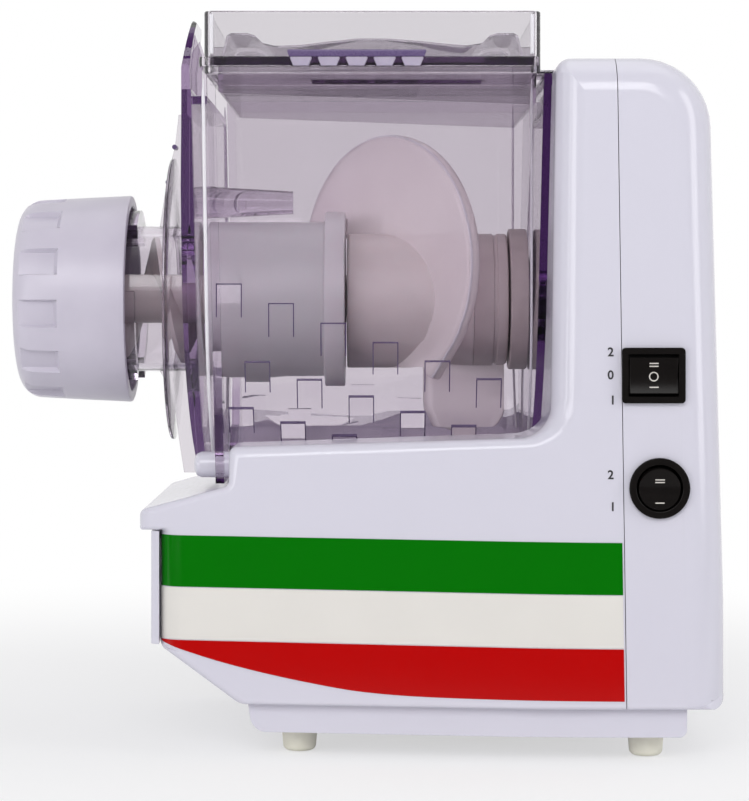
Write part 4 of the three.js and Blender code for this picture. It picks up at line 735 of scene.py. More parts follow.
def housing_body(name, drawn_in, sizes, material):
    """The whole housing as one full body, drawn in by a distance."""
    edge, shoulder = sizes.tower_edge / MM, sizes.shoulder / MM
    # Each corner of the side view, and the edge radii of the line that starts there
    outline = [
        (corner(NOSE_X + 30.7, SPLIT_Z, 8), (1.5, 1.5)),
        (corner(BACK_X, SPLIT_Z, 5), (16, 16)),
        (corner(BACK_X, 60, 60), (16, 16)),
        (corner(BACK_X - 5.6, TOP_Z, 27), (14, 14)),
        (corner(tower_front(TOP_Z), TOP_Z, 6), (edge, edge)),
        (corner(tower_front(TOWER_FOOT), TOWER_FOOT, 13), (4, shoulder)),
        (corner(STEP_X, SHELF_BACK, 3), (shoulder, 2.5)),
        (corner(STEP_X, SHELF_FRONT, 2.5), (2.5, 3)),
        (corner(LIP_X, LIP_TOP, 3), (6, 6)),
        (corner(LIP_X, LIP_LOW, 1), (2, 2)),
        (corner(NOSE_X, LIP_LOW, 0.5), (NOSE_ROUND, NOSE_ROUND)),
        (corner(NOSE_X, NOSE_LOW, 3), (3, 3)),
    ]
    corners, edges = [list(column) for column in zip(*outline)]
    if drawn_in:
        moved = line_offsets(corners, [(drawn_in, drawn_in)] * len(corners))
        corners = [corner(p.x, p.y, max(c[2] - drawn_in, 1.0)) for p, c in zip(moved, corners)]
        edges = [(max(a - drawn_in, 0.8), max(b - drawn_in, 0.8)) for a, b in edges]
    made = slab(name, corners, edges, WIDE - drawn_in, material)
    taper(made, drawn_in)
    return made


def taper(obj, drawn_in):
    """Narrows a body towards the drawer, as the machine is seen from above. The body is first
    cut across, more finely where its sides bend."""
    bm = bmesh.new()
    bm.from_mesh(obj.data)
    x = LIP_X + 6
    while x < TOWER_X + 20:
        bmesh.ops.bisect_plane(
            bm,
            geom=list(bm.verts) + list(bm.edges) + list(bm.faces),
            plane_co=(x * MM, 0, 0),
            plane_no=(1, 0, 0),
            dist=1e-7,
        )
        x += 12 if x < TOWER_X - 22 else 4
    for vert in bm.verts:
        vert.co.y *= (width_at(vert.co.x / MM) - drawn_in) / (WIDE - drawn_in)
    bm.to_mesh(obj.data)
    bm.free()


def base_opening(material):
    """The room under the base, which its plate closes."""
    front, drawn_in = NOSE_X + 41, 14
    half = [
        corner(front, width_at(front) - drawn_in),
        corner(TOWER_X, WIDE - drawn_in),
        corner(BACK_X - drawn_in, WIDE - drawn_in, 6),
    ]
    outline = [corner(x, -y, round_by) for x, y, round_by in half] + half[::-1]
    return prism("opening", outline, 0, SPLIT_Z + 5, "Z", material)


def half_space(name, front, material):
    """Everything before or behind the seam, leaving its gap."""
    sides = []
    for z in (-50, 400):
        if front:
            sides.append((-200, seam_at(z) - SEAM_GAP, z, 0))
        else:
            sides.append((seam_at(z) + SEAM_GAP, 300, z, 0))
    return prism(name, quad(*sides), -150, 150, "Y", material)


class PASTA_OT_housing(bpy.types.Operator):
    """Builds the two halves of the housing"""

    bl_idname = "pasta.housing"
    bl_label = "Housing"

    def execute(self, context):
        sizes = context.scene.pasta_sizes
        shell = MATERIALS["shell"]
        front = housing_body("housing_front_half", 0, sizes, shell)
        combine(front, [rod("cradle", LIP_X - 20, TOWER_X - 2, CRADLE, 0, AXIS, shell, 160)])
        hollow = housing_body("housing_inner", WALL, sizes, shell)
        room = rod("cradle_in", LIP_X - 20, TOWER_X + 1, CRADLE + WALL, 0, AXIS, shell, 128)
        combine(hollow, [room])
        combine(front, [hollow])
        combine(front, [base_opening(shell)])
        rear = linked("housing_rear_half", front.data.copy())
        combine(front, [half_space("before", True, shell)], "INTERSECT")
        combine(rear, [half_space("behind", False, shell)], "INTERSECT")
        combine(front, self.front_cuts(shell))
        combine(rear, self.rear_cuts(shell))
        for half, node in ((front, "front_housing"), (rear, "rear_housing")):
            weigh_normals(half, 28)
            settle(half, "housing", "shell", node)
        return {"FINISHED"}

    def front_cuts(self, shell):
        """The drawer's mouth, the shaft's hole and the notch for the lid's tab."""
        mouth = (LIP_X - 9, NOSE_X + 5, -MOUTH_HALF, MOUTH_HALF, MOUTH_LOW, MOUTH_TOP)
        return [
            block("mouth", *mouth, shell),
            rod("shaft_hole", TOWER_X - 12, TOWER_X + 8, SHAFT_HOLE, 0, AXIS, shell, 64),
            block("notch", TOWER_X - 2, tower_front(TOP_Z) + 3.3, *NOTCH, shell),
        ]

    def rear_cuts(self, shell):
        """The vents and the holes for the switches and the cord's gland."""
        behind, through = (BACK_X - 30, BACK_X + 9), (-110, -86)
        cuts = []
        for i in range(VENTS):
            z = VENT_LOW + VENT_STEP * i
            outline = rect(-VENT_HALF, VENT_HALF, z, z + VENT_TALL, VENT_ROUND)
            cuts.append(prism(f"vent_{i}", outline, *behind, "X", shell, 30))
        (x0, _, z0), (x1, _, z1) = box_mm("power_switch_body")
        across, up = (x0 + BEZEL_COVER, x1 - BEZEL_COVER), (z0 + BEZEL_COVER, z1 - BEZEL_COVER)
        cuts.append(block("switch_hole", *across, *through, *up, shell))
        (x0, _, z0), (x1, _, z1) = box_mm("mode_switch_body")
        radius = (x1 - x0) / 2 - BEZEL_COVER
        cuts.append(bar_y("round_hole", *through, radius, (x0 + x1) / 2, (z0 + z1) / 2, shell))
        cuts.append(rod("gland_hole", *behind, GLAND_HOLE, 0, GLAND_Z, shell, 48))
        return cuts


# Stripes

STRIPE_TOP, STRIPE_TALL, STRIPE_GAP = 84.0, 20.2, 0.15
STRIPE_FRONT = NOSE_X + 0.15
STRIPE_RISE = 1.5  # of the stripes towards the drawer
STRIPE_COLUMNS = 90
FILM_DEEP, FILM_PROUD, FILM_EDGE = 0.25, 0.3, 0.12
# The lower edge of the lowest stripe: share of its length, then share of its height.
KEEL_SHARES = [(0, 0.94), (0.04, 0.82), (0.125, 0.6), (0.222, 0.4), (0.33, 0.22), (0.44, 0.08)]
KEEL_SHARES += [(0.6, 0.01), (1, 0)]


def side_at(x):
    """How far out the base's side is at a place, with the round of its front corner."""
    deep = NOSE_ROUND - (x - NOSE_X)
    if deep <= 0:
        return width_at(x)
    inward = NOSE_ROUND - math.sqrt(max(NOSE_ROUND**2 - deep**2, 0))
    return (WIDE - inward) * width_at(x) / WIDE


def keel_share(along):
    """The height of the lowest stripe's lower edge, as a smooth curve through its shares."""
    for i in range(len(KEEL_SHARES) - 1):
        (a, p), (b, q) = KEEL_SHARES[i], KEEL_SHARES[i + 1]
        if along <= b:
            before = KEEL_SHARES[max(i - 1, 0)]
            after = KEEL_SHARES[min(i + 2, len(KEEL_SHARES) - 1)]
            t = (along - a) / (b - a)
            slope_a = (q - before[1]) / (b - before[0]) * (b - a)
            slope_b = (after[1] - p) / (after[0] - a) * (b - a)
            h = t * t * (3 - 2 * t)
            return p * (1 - h) + q * h + slope_a * t * (1 - t) ** 2 - slope_b * t * t * (1 - t)
    return KEEL_SHARES[-1][1]


def stripe(name, high, low_at, side, material):
    """A thin film on a side of the base between two heights."""
    rings = []
    for i in range(STRIPE_COLUMNS + 1):
        share = (i / STRIPE_COLUMNS) ** 2
        low = low_at(share)
        ring = []
        for z, out in (
            (low, -FILM_DEEP),
            (low, FILM_PROUD - FILM_EDGE),
            (low + FILM_EDGE, FILM_PROUD),
            (high - FILM_EDGE, FILM_PROUD),
            (high, FILM_PROUD - FILM_EDGE),
            (high, -FILM_DEEP),
        ):
            x = STRIPE_FRONT + (seam_at(z) - 0.8 - STRIPE_FRONT) * share
            ring.append((x, side * (side_at(x) + out), z + STRIPE_RISE * (1 - share)))
        rings.append(ring)
    return skinned(name, rings, material, 25)


class PASTA_OT_stripes(bpy.types.Operator):
    """Builds the three stripes on each side of the base"""

    bl_idname = "pasta.stripes"
    bl_label = "Stripes"

    def execute(self, context):
        bottom = STRIPE_TOP - STRIPE_TALL * 3

        def keel(share):
            return bottom + STRIPE_TALL * keel_share(share) + 2 * STRIPE_GAP

        for side, word in ((-1, "near"), (1, "far")):
            for i, colour in enumerate(("green", "white", "red")):
                high = STRIPE_TOP - STRIPE_TALL * i - STRIPE_GAP * (1 if i else 2)
                low = STRIPE_TOP - STRIPE_TALL * (i + 1) + STRIPE_GAP
                low_at = keel if colour == "red" else lambda share, low=low: low
                name = f"stripe_{colour}_{word}"
                made = stripe(name + "_film", high, low_at, side, MATERIALS[colour])
                settle(made, "housing", colour, name)
        return {"FINISHED"}


# Nut

NUT_NOSE, NUT_BODY, NUT_INNER, NUT_MOUTH, NUT_RIM = 40.7, 42.5, 38.0, 27.0, 9.0  # radii
FLUTE_FLOOR, FLUTE_LONG = 38.6, 18  # the flutes' radius, and their reach from the front
FLUTE_START = 21.5  # degrees


def nut_profile():
    """The nut's outside, and its inside from its back round to its mouth."""
    (front, _, _), (back, _, _) = box_mm("die_nut")
    outer = [(front + 0.4, NUT_MOUTH), (front, NUT_MOUTH + 0.5), (front, NUT_NOSE - NUT_RIM - 1)]
    for k in range(9, 0, -1):
        turn = math.pi / 2 * k / 9
        along = front + NUT_RIM * (1 - math.sin(turn))
        outer.append((along, NUT_NOSE - NUT_RIM + NUT_RIM * math.cos(turn)))
    outer += [(front + 14, 41.0), (front + 17.2, 41.15), (front + 18.9, 41.25)]
    outer += [(front + 30, 41.8), (back - 0.9, NUT_BODY), (back - 0.25, NUT_BODY - 0.25)]
    inside = [(back, NUT_BODY - 0.9), (back, NUT_INNER + 0.5), (back - 0.5, NUT_INNER)]
    inside += [(front + 21, NUT_INNER), (front + 20, NUT_INNER - 0.7)]
    inside += [(front + 3.8, NUT_INNER - 0.7), (front + 3.8, NUT_MOUTH + 0.4)]
    inside += [(front + 3.4, NUT_MOUTH)]
    return front, outer, inside


def nut_mesh(name, flutes, material):
    """The nut's profile turned about its axis, let in at each flute."""
    front, outside, inside = nut_profile()
    period = 360 / flutes
    half = period / 4
    turns = [-half - 0.5, -half + 0.5, -half / 2, 0, half / 2, half - 0.5, half + 0.5]
    turns += [half + (period - 2 * half) * share for share in (0.3, 0.5, 0.7)]
    rings = []
    for k in range(flutes):
        for turn in turns:
            angle = math.radians(FLUTE_START + period * k + turn)
            ring = []
            for i, (x, radius) in enumerate(outside + inside):
                if abs(turn) < half and i < len(outside) and x < front + FLUTE_LONG:
                    radius = min(radius, FLUTE_FLOOR)
                ring.append((x, radius * math.sin(angle), AXIS + radius * math.cos(angle)))
            rings.append(ring)
    return skinned(name, rings, material, 32, endless=True)


class PASTA_OT_nut(bpy.types.Operator):
    """Builds the fluted nut that holds the die"""

    bl_idname = "pasta.nut"
    bl_label = "Die nut"

    def execute(self, context):
        made = nut_mesh("die_nut_fluted", context.scene.pasta_sizes.flutes, MATERIALS["nut"])
        settle(made, "nut", "nut", "die_nut")
        return {"FINISHED"}


# Paddle

HUB_BACK = box_mm("chamber_collar")[0][0] - 0.8
HUB_FRONT = HUB_BACK - 65.5
HUB_RADIUS, HUB_BORE, HUB_GROOVE, SLEEVE_LONG = 27.0, 9.2, 0.6, 51.5
LOBE_THICK, LOBE_EDGE = 7.0, 2.8
SWEEP, TUBE_ROOM = 68, 37.2  # radii that the lobes keep within, and outside of


def lobe(made, turn, x, z, material, tip_cut=False):
    """Turns a flat lobe about the upright and cuts it to its sweep and its neighbours."""
    spin = Matrix.Rotation(math.radians(turn), 4, "Z")
    made.data.transform(Matrix.Translation(Vector((x, 0, z)) * MM) @ spin)
    ahead = HUB_FRONT - 60
    sweep = rod("sweep", ahead, HUB_BACK - 0.5, SWEEP, 0, AXIS, material, 144)
    combine(made, [sweep], "INTERSECT")
    room = rod("tube_room", ahead, HUB_FRONT, TUBE_ROOM, 0, AXIS, material, 128)
    low = block("low_room", ahead, HUB_FRONT, -80, 80, AXIS - 90, AXIS, material)
    hub = rod("hub_room", HUB_FRONT - 1, HUB_BACK + 1, HUB_RADIUS - 0.1, 0, AXIS, material, 128)
    combine(made, [room, low, hub])
    if tip_cut:
        outline = [corner(ahead, AXIS - 90), corner(ahead, AXIS - 27)]
        outline += [corner(HUB_FRONT + 30, AXIS - 27, 6), corner(HUB_FRONT + 47, AXIS - 35)]
        outline += [corner(HUB_FRONT + 47, AXIS - 90)]
        combine(made, [prism("tip_room", outline, -90, 90, "Y", material)])
    weigh_normals(made, 30)
    return made


def lobe_painted_highlight(half, tall, thick):
    """A fine raised bead round the lobe's edge in near-white plastic: a painted highlight on the
    rim.
    """
    inset, raised, radius = 0.75, 1.6, 0.6
    rings = []
    for i in range(144):
        angle = 2 * math.pi * i / 144
        out = Vector((math.cos(angle) / half, 0, math.sin(angle) / tall)).normalized()
        middle = Vector((half * math.cos(angle), raised - thick, tall * math.sin(angle)))
        middle -= out * inset
        ring = []
        for k in range(8):
            turn = 2 * math.pi * k / 8
            ring.append(middle + (out * math.cos(turn) + Vector((0, math.sin(turn), 0))) * radius)
        rings.append(ring)
    return skinned("paddle_lobe_painted_highlight", rings, MATERIALS["painted_highlight"], 60, endless=True)


class PASTA_OT_paddle(bpy.types.Operator):
    """Builds the paddle's hub and its two lobes"""

    bl_idname = "pasta.paddle"
    bl_label = "Mixing paddle"

    def execute(self, context):
        for made in (*self.hub(HUB_FRONT, HUB_BACK), *self.lobes(HUB_FRONT)):
            settle(made, "paddle", "milky", "mixing_paddle")
        return {"FINISHED"}

    def hub(self, front, back):
        """The sleeve, and the hub behind it with a groove round it."""
        middle, groove = front + SLEEVE_LONG, HUB_RADIUS - HUB_GROOVE
        points = [(front, HUB_BORE), (front, HUB_RADIUS), (middle, HUB_RADIUS), (middle, HUB_BORE)]
        sleeve = soft_profile(points, [0.4, 1.4, 0.3, 0.4])
        points = [(middle + 0.1, HUB_BORE), (middle + 0.1, HUB_RADIUS), (back - 6, HUB_RADIUS)]
        points += [(back - 5.6, groove), (back - 4.4, groove), (back - 4, HUB_RADIUS)]
        points += [(back, HUB_RADIUS), (back, HUB_BORE)]
        hub = soft_profile(points, [0.3, 0.3, 0.2, 0.2, 0.2, 0.2, 1.0, 0.4])
        centre = (0, 0, AXIS)
        return [
            lathe("paddle_sleeve", sleeve, MATERIALS["hub_pale"], "X", centre, 128),
            lathe("paddle_hub", hub, MATERIALS["hub"], "X", centre, 128),
        ]

    def lobes(self, front):
        """The oval lobe with its rim of painted highlight, and the tongue below the hub."""
        thin, thick = MATERIALS["milky_thin"], LOBE_THICK / 2
        turn = 50
        half, tall = 34.5 / math.cos(math.radians(turn)), 53.0
        angles = [2 * math.pi * i / 72 for i in range(72)]
        oval = [corner(half * math.cos(angle), tall * math.sin(angle)) for angle in angles]
        big = prism("paddle_lobe", oval, -thick, thick, "Y", thin, edge=LOBE_EDGE)
        made = []
        # The rim is a painted highlight round the lobe's edge.
        for piece in (big, lobe_painted_highlight(half, tall, thick)):
            made.append(lobe(piece, -turn, front + 17.4, AXIS + 14.6, thin, True))
        turn = 28
        half, deep = 16.8 / math.cos(math.radians(turn)), 57
        tongue = quad((-half, half, -deep, half * 0.8), (-half, half, 0, 0))
        low = prism("paddle_low_lobe", tongue, -thick, thick, "Y", thin, edge=LOBE_EDGE)
        return made + [lobe(low, turn, front + 48.6, AXIS, thin)]


# Lid

LID_LOW, LID_HIGH = box_mm("lid")[0][2] + 13.2, box_mm("lid")[1][2]
LID_FRONT, LID_BACK = box_mm("lid")[0][0] + 2, box_mm("lid")[1][0] - 8
LID_HALF, LID_WALL = 75.4, 2
DECK_LOW, DECK_HIGH, DECK_GAP = LID_LOW + 2.6, LID_LOW + 6.4, 0.06
SLOT_SHIFT, SLOT_HALF, SLOT_ACROSS = 10, 35, 11
SKIRT_WALL = 1.8
TEETH, TOOTH_TALL, TOOTH_GAP, GRIP_LONG, GRIP_SHIFT, BAR_TALL = 5, 3.4, 3.6, 50.0, -6, 2.7
ARM_ACROSS = (-60, -40)
# The dish's section: share of its length, then share of the wall's height over the deck.
DISH_THICK, DISH_ENDS = 0.8, 4
DISH_SHARES = [(0.02, 0.1), (0.035, 0.52), (0.05, 0.57), (0.1, 0.57), (0.125, 0.52)]
DISH_SHARES += [(0.15, 0.35), (0.19, 0.29), (0.27, 0.31), (0.35, 0.38), (0.45, 0.45)]
DISH_SHARES += [(0.55, 0.45), (0.65, 0.4), (0.73, 0.34), (0.8, 0.3), (0.85, 0.35)]
DISH_SHARES += [(0.875, 0.52), (0.9, 0.57), (0.95, 0.57), (0.965, 0.52), (0.98, 0.1)]


def ring_wall(name, x0, x1, half, z0, z1, wall, round_by, material, edge=0.7):
    """Four walls round a rectangle with rounded corners."""

    def box(drawn_in, low, high, edge_by):
        sides = (x0 + drawn_in, x1 - drawn_in, -half + drawn_in, half - drawn_in)
        outline = rect(*sides, max(round_by - drawn_in, 0.8))
        return prism(name, outline, low, high, "Z", material, edge=edge_by)

    made = box(0, z0, z1, edge)
    combine(made, [box(wall, z0 - 5, z1 + 5, 0)])
    weigh_normals(made, 30)
    return made


class PASTA_OT_lid(bpy.types.Operator):
    """Builds the lid's walls, deck, skirt, dish and grips"""

    bl_idname = "pasta.lid"
    bl_label = "Lid"

    def execute(self, context):
        made = [self.walls(), self.rib(), self.deck(), self.skirt(), *self.dish()]
        made += [*self.grips(), self.arm()]
        for piece in made:
            settle(piece, "lid", "clear", "lid")
        return {"FINISHED"}

    def walls(self):
        size = (LID_FRONT, LID_BACK, LID_HALF, LID_LOW, LID_HIGH, LID_WALL, 4)
        return ring_wall("lid_walls", *size, MATERIALS["clear_thin"])

    def rib(self):
        """The rib round the front and the sides, as high as the deck."""
        clear = MATERIALS["clear"]
        size = (LID_FRONT - 2, LID_BACK + 1, LID_HALF + 2, DECK_LOW, DECK_HIGH, 1.9, 5)
        behind = (LID_BACK - 1, LID_BACK + 9, -90, 90, DECK_LOW - 5, DECK_HIGH + 5)
        rib = ring_wall("lid_rib", *size, clear, 0.4)
        return combine(rib, [block("behind_lid", *behind, clear)])

    def deck(self):
        """The floor of the tray, with its slot."""
        clear, inset = MATERIALS["clear"], LID_WALL + DECK_GAP
        sides = (LID_FRONT + inset, LID_BACK - inset, -LID_HALF + inset, LID_HALF - inset)
        deck = prism("lid_deck", rect(*sides, 2.4), DECK_LOW, DECK_HIGH, "Z", clear, edge=0.3)
        middle = (LID_FRONT + LID_BACK) / 2 + SLOT_SHIFT
        slot = (middle - SLOT_HALF, middle + SLOT_HALF, -SLOT_ACROSS, SLOT_ACROSS)
        combine(deck, [block("slot", *slot, DECK_LOW - 3, DECK_HIGH + 3, clear)])
        soften(deck, 1.1, 3)
        return deck

    def skirt(self):
        """The wall under the deck that goes down into the chamber, lower at the back."""
        front, back, half = LID_FRONT + 5.3, LID_BACK - 1.6, TROUGH - 0.5
        rim = LID_LOW - 0.3

        def body(name, drawn_in, front_low, back_low, high):
            outline = [
                corner(front + drawn_in, front_low, 1.5),
                corner(back - drawn_in, back_low, 1.5),
                corner(back - drawn_in, high),
                corner(front + drawn_in, high),
            ]
            across = (-half + drawn_in, half - drawn_in)
            return prism(name, outline, *across, "Y", MATERIALS["clear_thin"])

        made = body("lid_skirt", 0, rim - 7, rim - 11.5, DECK_LOW - DECK_GAP)
        combine(made, [body("skirt_in", SKIRT_WALL, rim - 60, rim - 60, DECK_LOW + 9)])
        weigh_normals(made, 30)
        return made

    def dish(self):
        """The curved pouring dish that stands in the tray, on both sides of the slot."""
        start, long = LID_FRONT + DISH_ENDS, LID_BACK - LID_FRONT - 2 * DISH_ENDS
        tall = LID_HIGH - DECK_HIGH
        outer, inner = [], []
        for share, up in DISH_SHARES:
            x, z = start + long * share, DECK_HIGH + tall * up
            inward = 0 if up >= 0.55 else DISH_THICK if share < 0.5 else -DISH_THICK
            outer.append((x, z))
            inner.append((x + inward, z - DISH_THICK))
        ring = inner + outer[::-1]
        count, half = len(ring), len(outer)
        for low, high, word in ((-64, -13, "near"), (13, 64, "far")):
            bm = bmesh.new()
            rows = [[bm.verts.new((x, y, z)) for x, z in ring] for y in (low, high)]
            for i in range(count):
                j = (i + 1) % count
                bm.faces.new((rows[0][i], rows[0][j], rows[1][j], rows[1][i]))
            for row in rows:
                for i in range(half - 1):
                    bm.faces.new((row[i], row[i + 1], row[count - 2 - i], row[count - 1 - i]))
            bmesh.ops.recalc_face_normals(bm, faces=bm.faces)
            yield object_from(bm, f"lid_dish_{word}", MATERIALS["clear_dish"], 60)

    def grips(self):
        """On each long side frosted teeth, wider at the top than at the foot, under a dark bar of
        painted shade, and a rod of painted highlight at each end of the wall."""
        middle = (LID_FRONT + LID_BACK) / 2 + GRIP_SHIFT
        start, end = middle - GRIP_LONG / 2, middle + GRIP_LONG / 2
        tooth = (GRIP_LONG - TOOTH_GAP * (TEETH - 1)) / TEETH
        low, high = DECK_LOW, DECK_LOW + TOOTH_TALL
        for side, word in ((-1, "near"), (1, "far")):
            span = sorted((side * (LID_HALF + 2.1), side * (LID_HALF + 4.5)))
            pieces = []
            for i in range(TEETH):
                x = start + i * (tooth + TOOTH_GAP)
                outline = quad(
                    (x + 0.6, x + tooth - 0.6, low, 0.5), (x - 0.9, x + tooth + 0.9, high, 0.5)
                )
                frosted = MATERIALS["frosted"]
                pieces.append(prism(f"tooth_{i}", outline, *span, "Y", frosted, edge=0.5))
            made = combine(pieces[0], pieces[1:], "UNION")
            made.name = f"lid_grip_{word}"
            weigh_normals(made, 30)
            yield made
            # The bar is a dark violet band of painted shade.
            z, name = high + 0.1, f"lid_painted_shade_bar_{word}"
            outline = quad((start - 1, end + 1, z, 0.3), (start - 2, end + 2, z + BAR_TALL, 0.6))
            span = sorted((side * (LID_HALF + 2.1), side * (LID_HALF + 3.9)))
            yield prism(name, outline, *span, "Y", MATERIALS["painted_shade_line"], edge=0.4)
            # Near-white rods at the wall's ends: painted highlights.
            for x, end_word in ((LID_FRONT + 3, "front"), (LID_BACK - 3.4, "back")):
                points = [(LID_LOW + 7, 0), (LID_LOW + 7.5, 0.8), (LID_HIGH - 1.4, 0.8)]
                points += [(LID_HIGH - 0.9, 0)]
                name, at = f"lid_painted_highlight_{end_word}_{word}", (x, side * (LID_HALF - 0.35), 0)
                yield lathe(name, points, MATERIALS["painted_highlight"], "Z", at, 24)

    def arm(self):
        """The arm over the tower's front, with the tab that presses the interlock."""
        thin, back = MATERIALS["clear_thin"], TOWER_X + 3.3
        tab_low = box_mm("interlock_switch")[1][2] - 2
        sides = (LID_BACK - 1.9, back + 1.6, *ARM_ACROSS)
        arm = block("lid_arm", *sides, LID_LOW, LID_LOW + 2.5, thin, 0.4)
        sides = (back - 0.4, back + 1.6, *ARM_ACROSS)
        tab = block("lid_tab", *sides, tab_low, LID_LOW + 0.5, thin, 0.3)
        return combine(arm, [tab], "UNION")


# Chamber wall

# Rows of pads: from the flange to the first, degrees below the axis, count.
PAD_ROWS = [(1.5, -4.5, 6), (12.3, 20.5, 5), (5.5, 37.5, 4)]
PAD_WIDE, PAD_STEP, PAD_ARC, PAD_TURN, PAD_LINE = 10.0, 20.2, 11.5, 6.2, 0.4
DISC_RADIUS, DISC_BORE, DISC_THICK = 58, 29.4, 1.2
# Moulding pins on the plate's outline, drawn in the dark violet of painted shade: from the flange,
# above the axis.
PLATE_PINS = [(-20.3, 62.5), (-23.0, 48.0), (-23.4, -34.2), (-21.6, -49.8)]


class PASTA_OT_pads(bpy.types.Operator):
    """Builds the painted shade outlines of the raised pads on the chamber's near wall"""

    bl_idname = "pasta.pads"
    bl_label = "Pad outlines"

    def execute(self, context):
        bm = bmesh.new()
        outer, inner = TROUGH + 0.2, TROUGH - 1
        across = math.degrees(PAD_LINE / TROUGH)

        def at(x, degrees, radius):
            angle = math.radians(degrees)
            return (x, -radius * math.cos(angle), AXIS - radius * math.sin(angle))

        def strip(x0, x1, section):
            skin(bm, [[at(x, *point) for point in section] for x in (x0, x1)])

        for start, turn, count in PAD_ROWS:
            for i in range(count):
                x, top = FLANGE_FRONT + start + PAD_STEP * i, turn + PAD_TURN * i
                foot = top + PAD_ARC * 0.9
                side = [(top, outer), (top, inner), (top + PAD_ARC / 2, TROUGH - 0.5)]
                side += [(foot, TROUGH), (foot, outer)]
                strip(x, x + PAD_LINE, side)
                strip(x + PAD_WIDE - PAD_LINE, x + PAD_WIDE, side)
                head = [(top - across, outer), (top - across, inner), (top, inner), (top, outer)]
                strip(x, x + PAD_WIDE, head)
        bmesh.ops.recalc_face_normals(bm, faces=bm.faces)
        # The outlines are thin strips of painted shade.
        made = object_from(bm, "pad_painted_shade_outlines", MATERIALS["painted_shade_line"])
        settle(made, "chamber", "clear")
        return {"FINISHED"}


def bead(name, x_low, x_high, out, radius, material):
    """A round bead of near-white plastic, a painted highlight, that runs down the wall and on
    along the trough, near or far.
    """
    high = CHAMBER_TOP - 2
    path = [(out, high - (high - AXIS) * i / 12, 0.0) for i in range(12)]
    for i in range(25):
        angle = math.radians(56) * i / 24
        path.append((out * math.cos(angle), AXIS - abs(out) * math.sin(angle), angle))
    rings = []
    for i, (y, z, angle) in enumerate(path):
        x = x_low + (x_high - x_low) * (z - path[-1][1]) / (high - path[-1][1])
        grown = radius * (0.3 if i in (0, len(path) - 1) else 1)
        across, down = math.copysign(math.cos(angle), out), math.sin(angle)
        ring = []
        for k in range(20):
            turn = 2 * math.pi * k / 20
            outward = grown * math.sin(turn)
            ring.append((x + grown * math.cos(turn), y + outward * across, z - outward * down))
        rings.append(ring)
    return skinned(name, rings, material, 50)


class PASTA_OT_beads(bpy.types.Operator):
    """Builds the painted highlight beads on the chamber's ends, and the plate's disc and its pins
    of painted shade
    """

    bl_idname = "pasta.beads"
    bl_label = "Beads, disc and pins"

    def execute(self, context):
        # The beads are painted highlights on the chamber's ends.
        light = MATERIALS["painted_highlight"]
        front, back = FLANGE_FRONT - 1.0, TOWER_X - 7.2
        for side, word in ((-1, "near"), (1, "far")):
            for name, foot, head, out, radius in (
                ("flange_painted_highlight", front, front - 2.2, 75.6, 0.7),
                ("wall_painted_highlight", back, back, 70.3, 0.5),
            ):
                made = bead(f"{name}_{word}", foot, head, out * side, radius, light)
                settle(made, "chamber", "clear")
        front = FLANGE_FRONT - 20.6
        points = [(front, DISC_BORE), (front, DISC_RADIUS)]
        points += [(front + DISC_THICK, DISC_RADIUS), (front + DISC_THICK, DISC_BORE)]
        profile = soft_profile(points, [0.1, 0.4, 0.4, 0.1])
        disc = lathe("plate_disc", profile, MATERIALS["clear_thin"], "X", (0, 0, AXIS), 160)
        settle(disc, "plate", "clear", "front_plate")
        for i, (along, up) in enumerate(PLATE_PINS):
            x, z = FLANGE_FRONT + along + 0.8, AXIS + up
            # The pins are dark marks of painted shade.
            pin = bar_y(f"plate_pin_{i}", -5, 5, 1.0, x, z, MATERIALS["painted_shade_line"], 24)
            settle(pin, "plate", "clear", "front_plate")
        return {"FINISHED"}


# Drawer and feet


class PASTA_OT_drawer(bpy.types.Operator):
    """Builds the accessory drawer, its panel rounded like the base's corners"""

    bl_idname = "pasta.drawer"
    bl_label = "Drawer"

    def execute(self, context):
        made = refined("drawer", MATERIALS["shell"], 0)
        (x0, y0, z0), (x1, y1, z1) = box_mm("drawer")
        plan = [
            corner(x0, y0, NOSE_ROUND - 1),
            corner(x1 + 1, y0),
            corner(x1 + 1, y1),
            corner(x0, y1, NOSE_ROUND - 1),
        ]
        keep = prism("drawer_plan", plan, z0 - 1, z1 + 1, "Z", MATERIALS["shell"], 5)
        combine(made, [keep], "INTERSECT")
        soften(made, 0.6)
        settle(made, "drawer", "shell", "drawer")
        return {"FINISHED"}


class PASTA_OT_feet(bpy.types.Operator):
    """Builds the four rubber feet"""

    bl_idname = "pasta.feet"
    bl_label = "Feet"

    def execute(self, context):
        for i in range(4):
            low, high = box_mm(f"foot_{i}")
            x, y = (low[0] + high[0]) / 2, (low[1] + high[1]) / 2
            top, radius = high[2], (high[0] - low[0]) / 2
            points = [(0, 0), (0, radius - 0.7), (top, radius), (top, 0)]
            profile = soft_profile(points, [0, 2.2, 0.4, 0], 6)
            made = lathe(f"foot_{i}_rounded", profile, MATERIALS["foot"], "Z", (x, y, 0), 48)
            settle(made, "housing", "foot", f"foot_{i}")
        return {"FINISHED"}


# Labels and marks

# Figures beside the switches: text and height
FIGURES = [("2", 155.9), ("0", 147.2), ("1", 137.7), ("2", 109.5), ("1", 97.4)]
FIGURE_RIGHT, FIGURE_TALL = TOWER_X + 22.4, 3.4
MARK_LINE = 0.42
MARK_BACK, MARK_FRONT = -0.05, 0.15


def stamp(obj, target, raise_mm):
    """Lays a flat mark, seen from the near side, on the surface behind it."""
    under = evaluated(target)
    for vert in obj.data.vertices:
        start = Vector((vert.co.x, -0.15, vert.co.z))
        hit, at, _, _ = under.ray_cast(start, Vector((0, 1, 0)))
        if not hit:
            raise RuntimeError(f"{obj.name} lies beside {target.name}")
        vert.co.y += at.y - raise_mm * MM
    return obj


def flat_bar(name, x, z, long, material):
    """A thin bar seen from the near side, to be stamped."""
    half, up = long / 2, MARK_LINE / 2
    return block(name, x - half, x + half, MARK_BACK, MARK_FRONT, z - up, z + up, material)


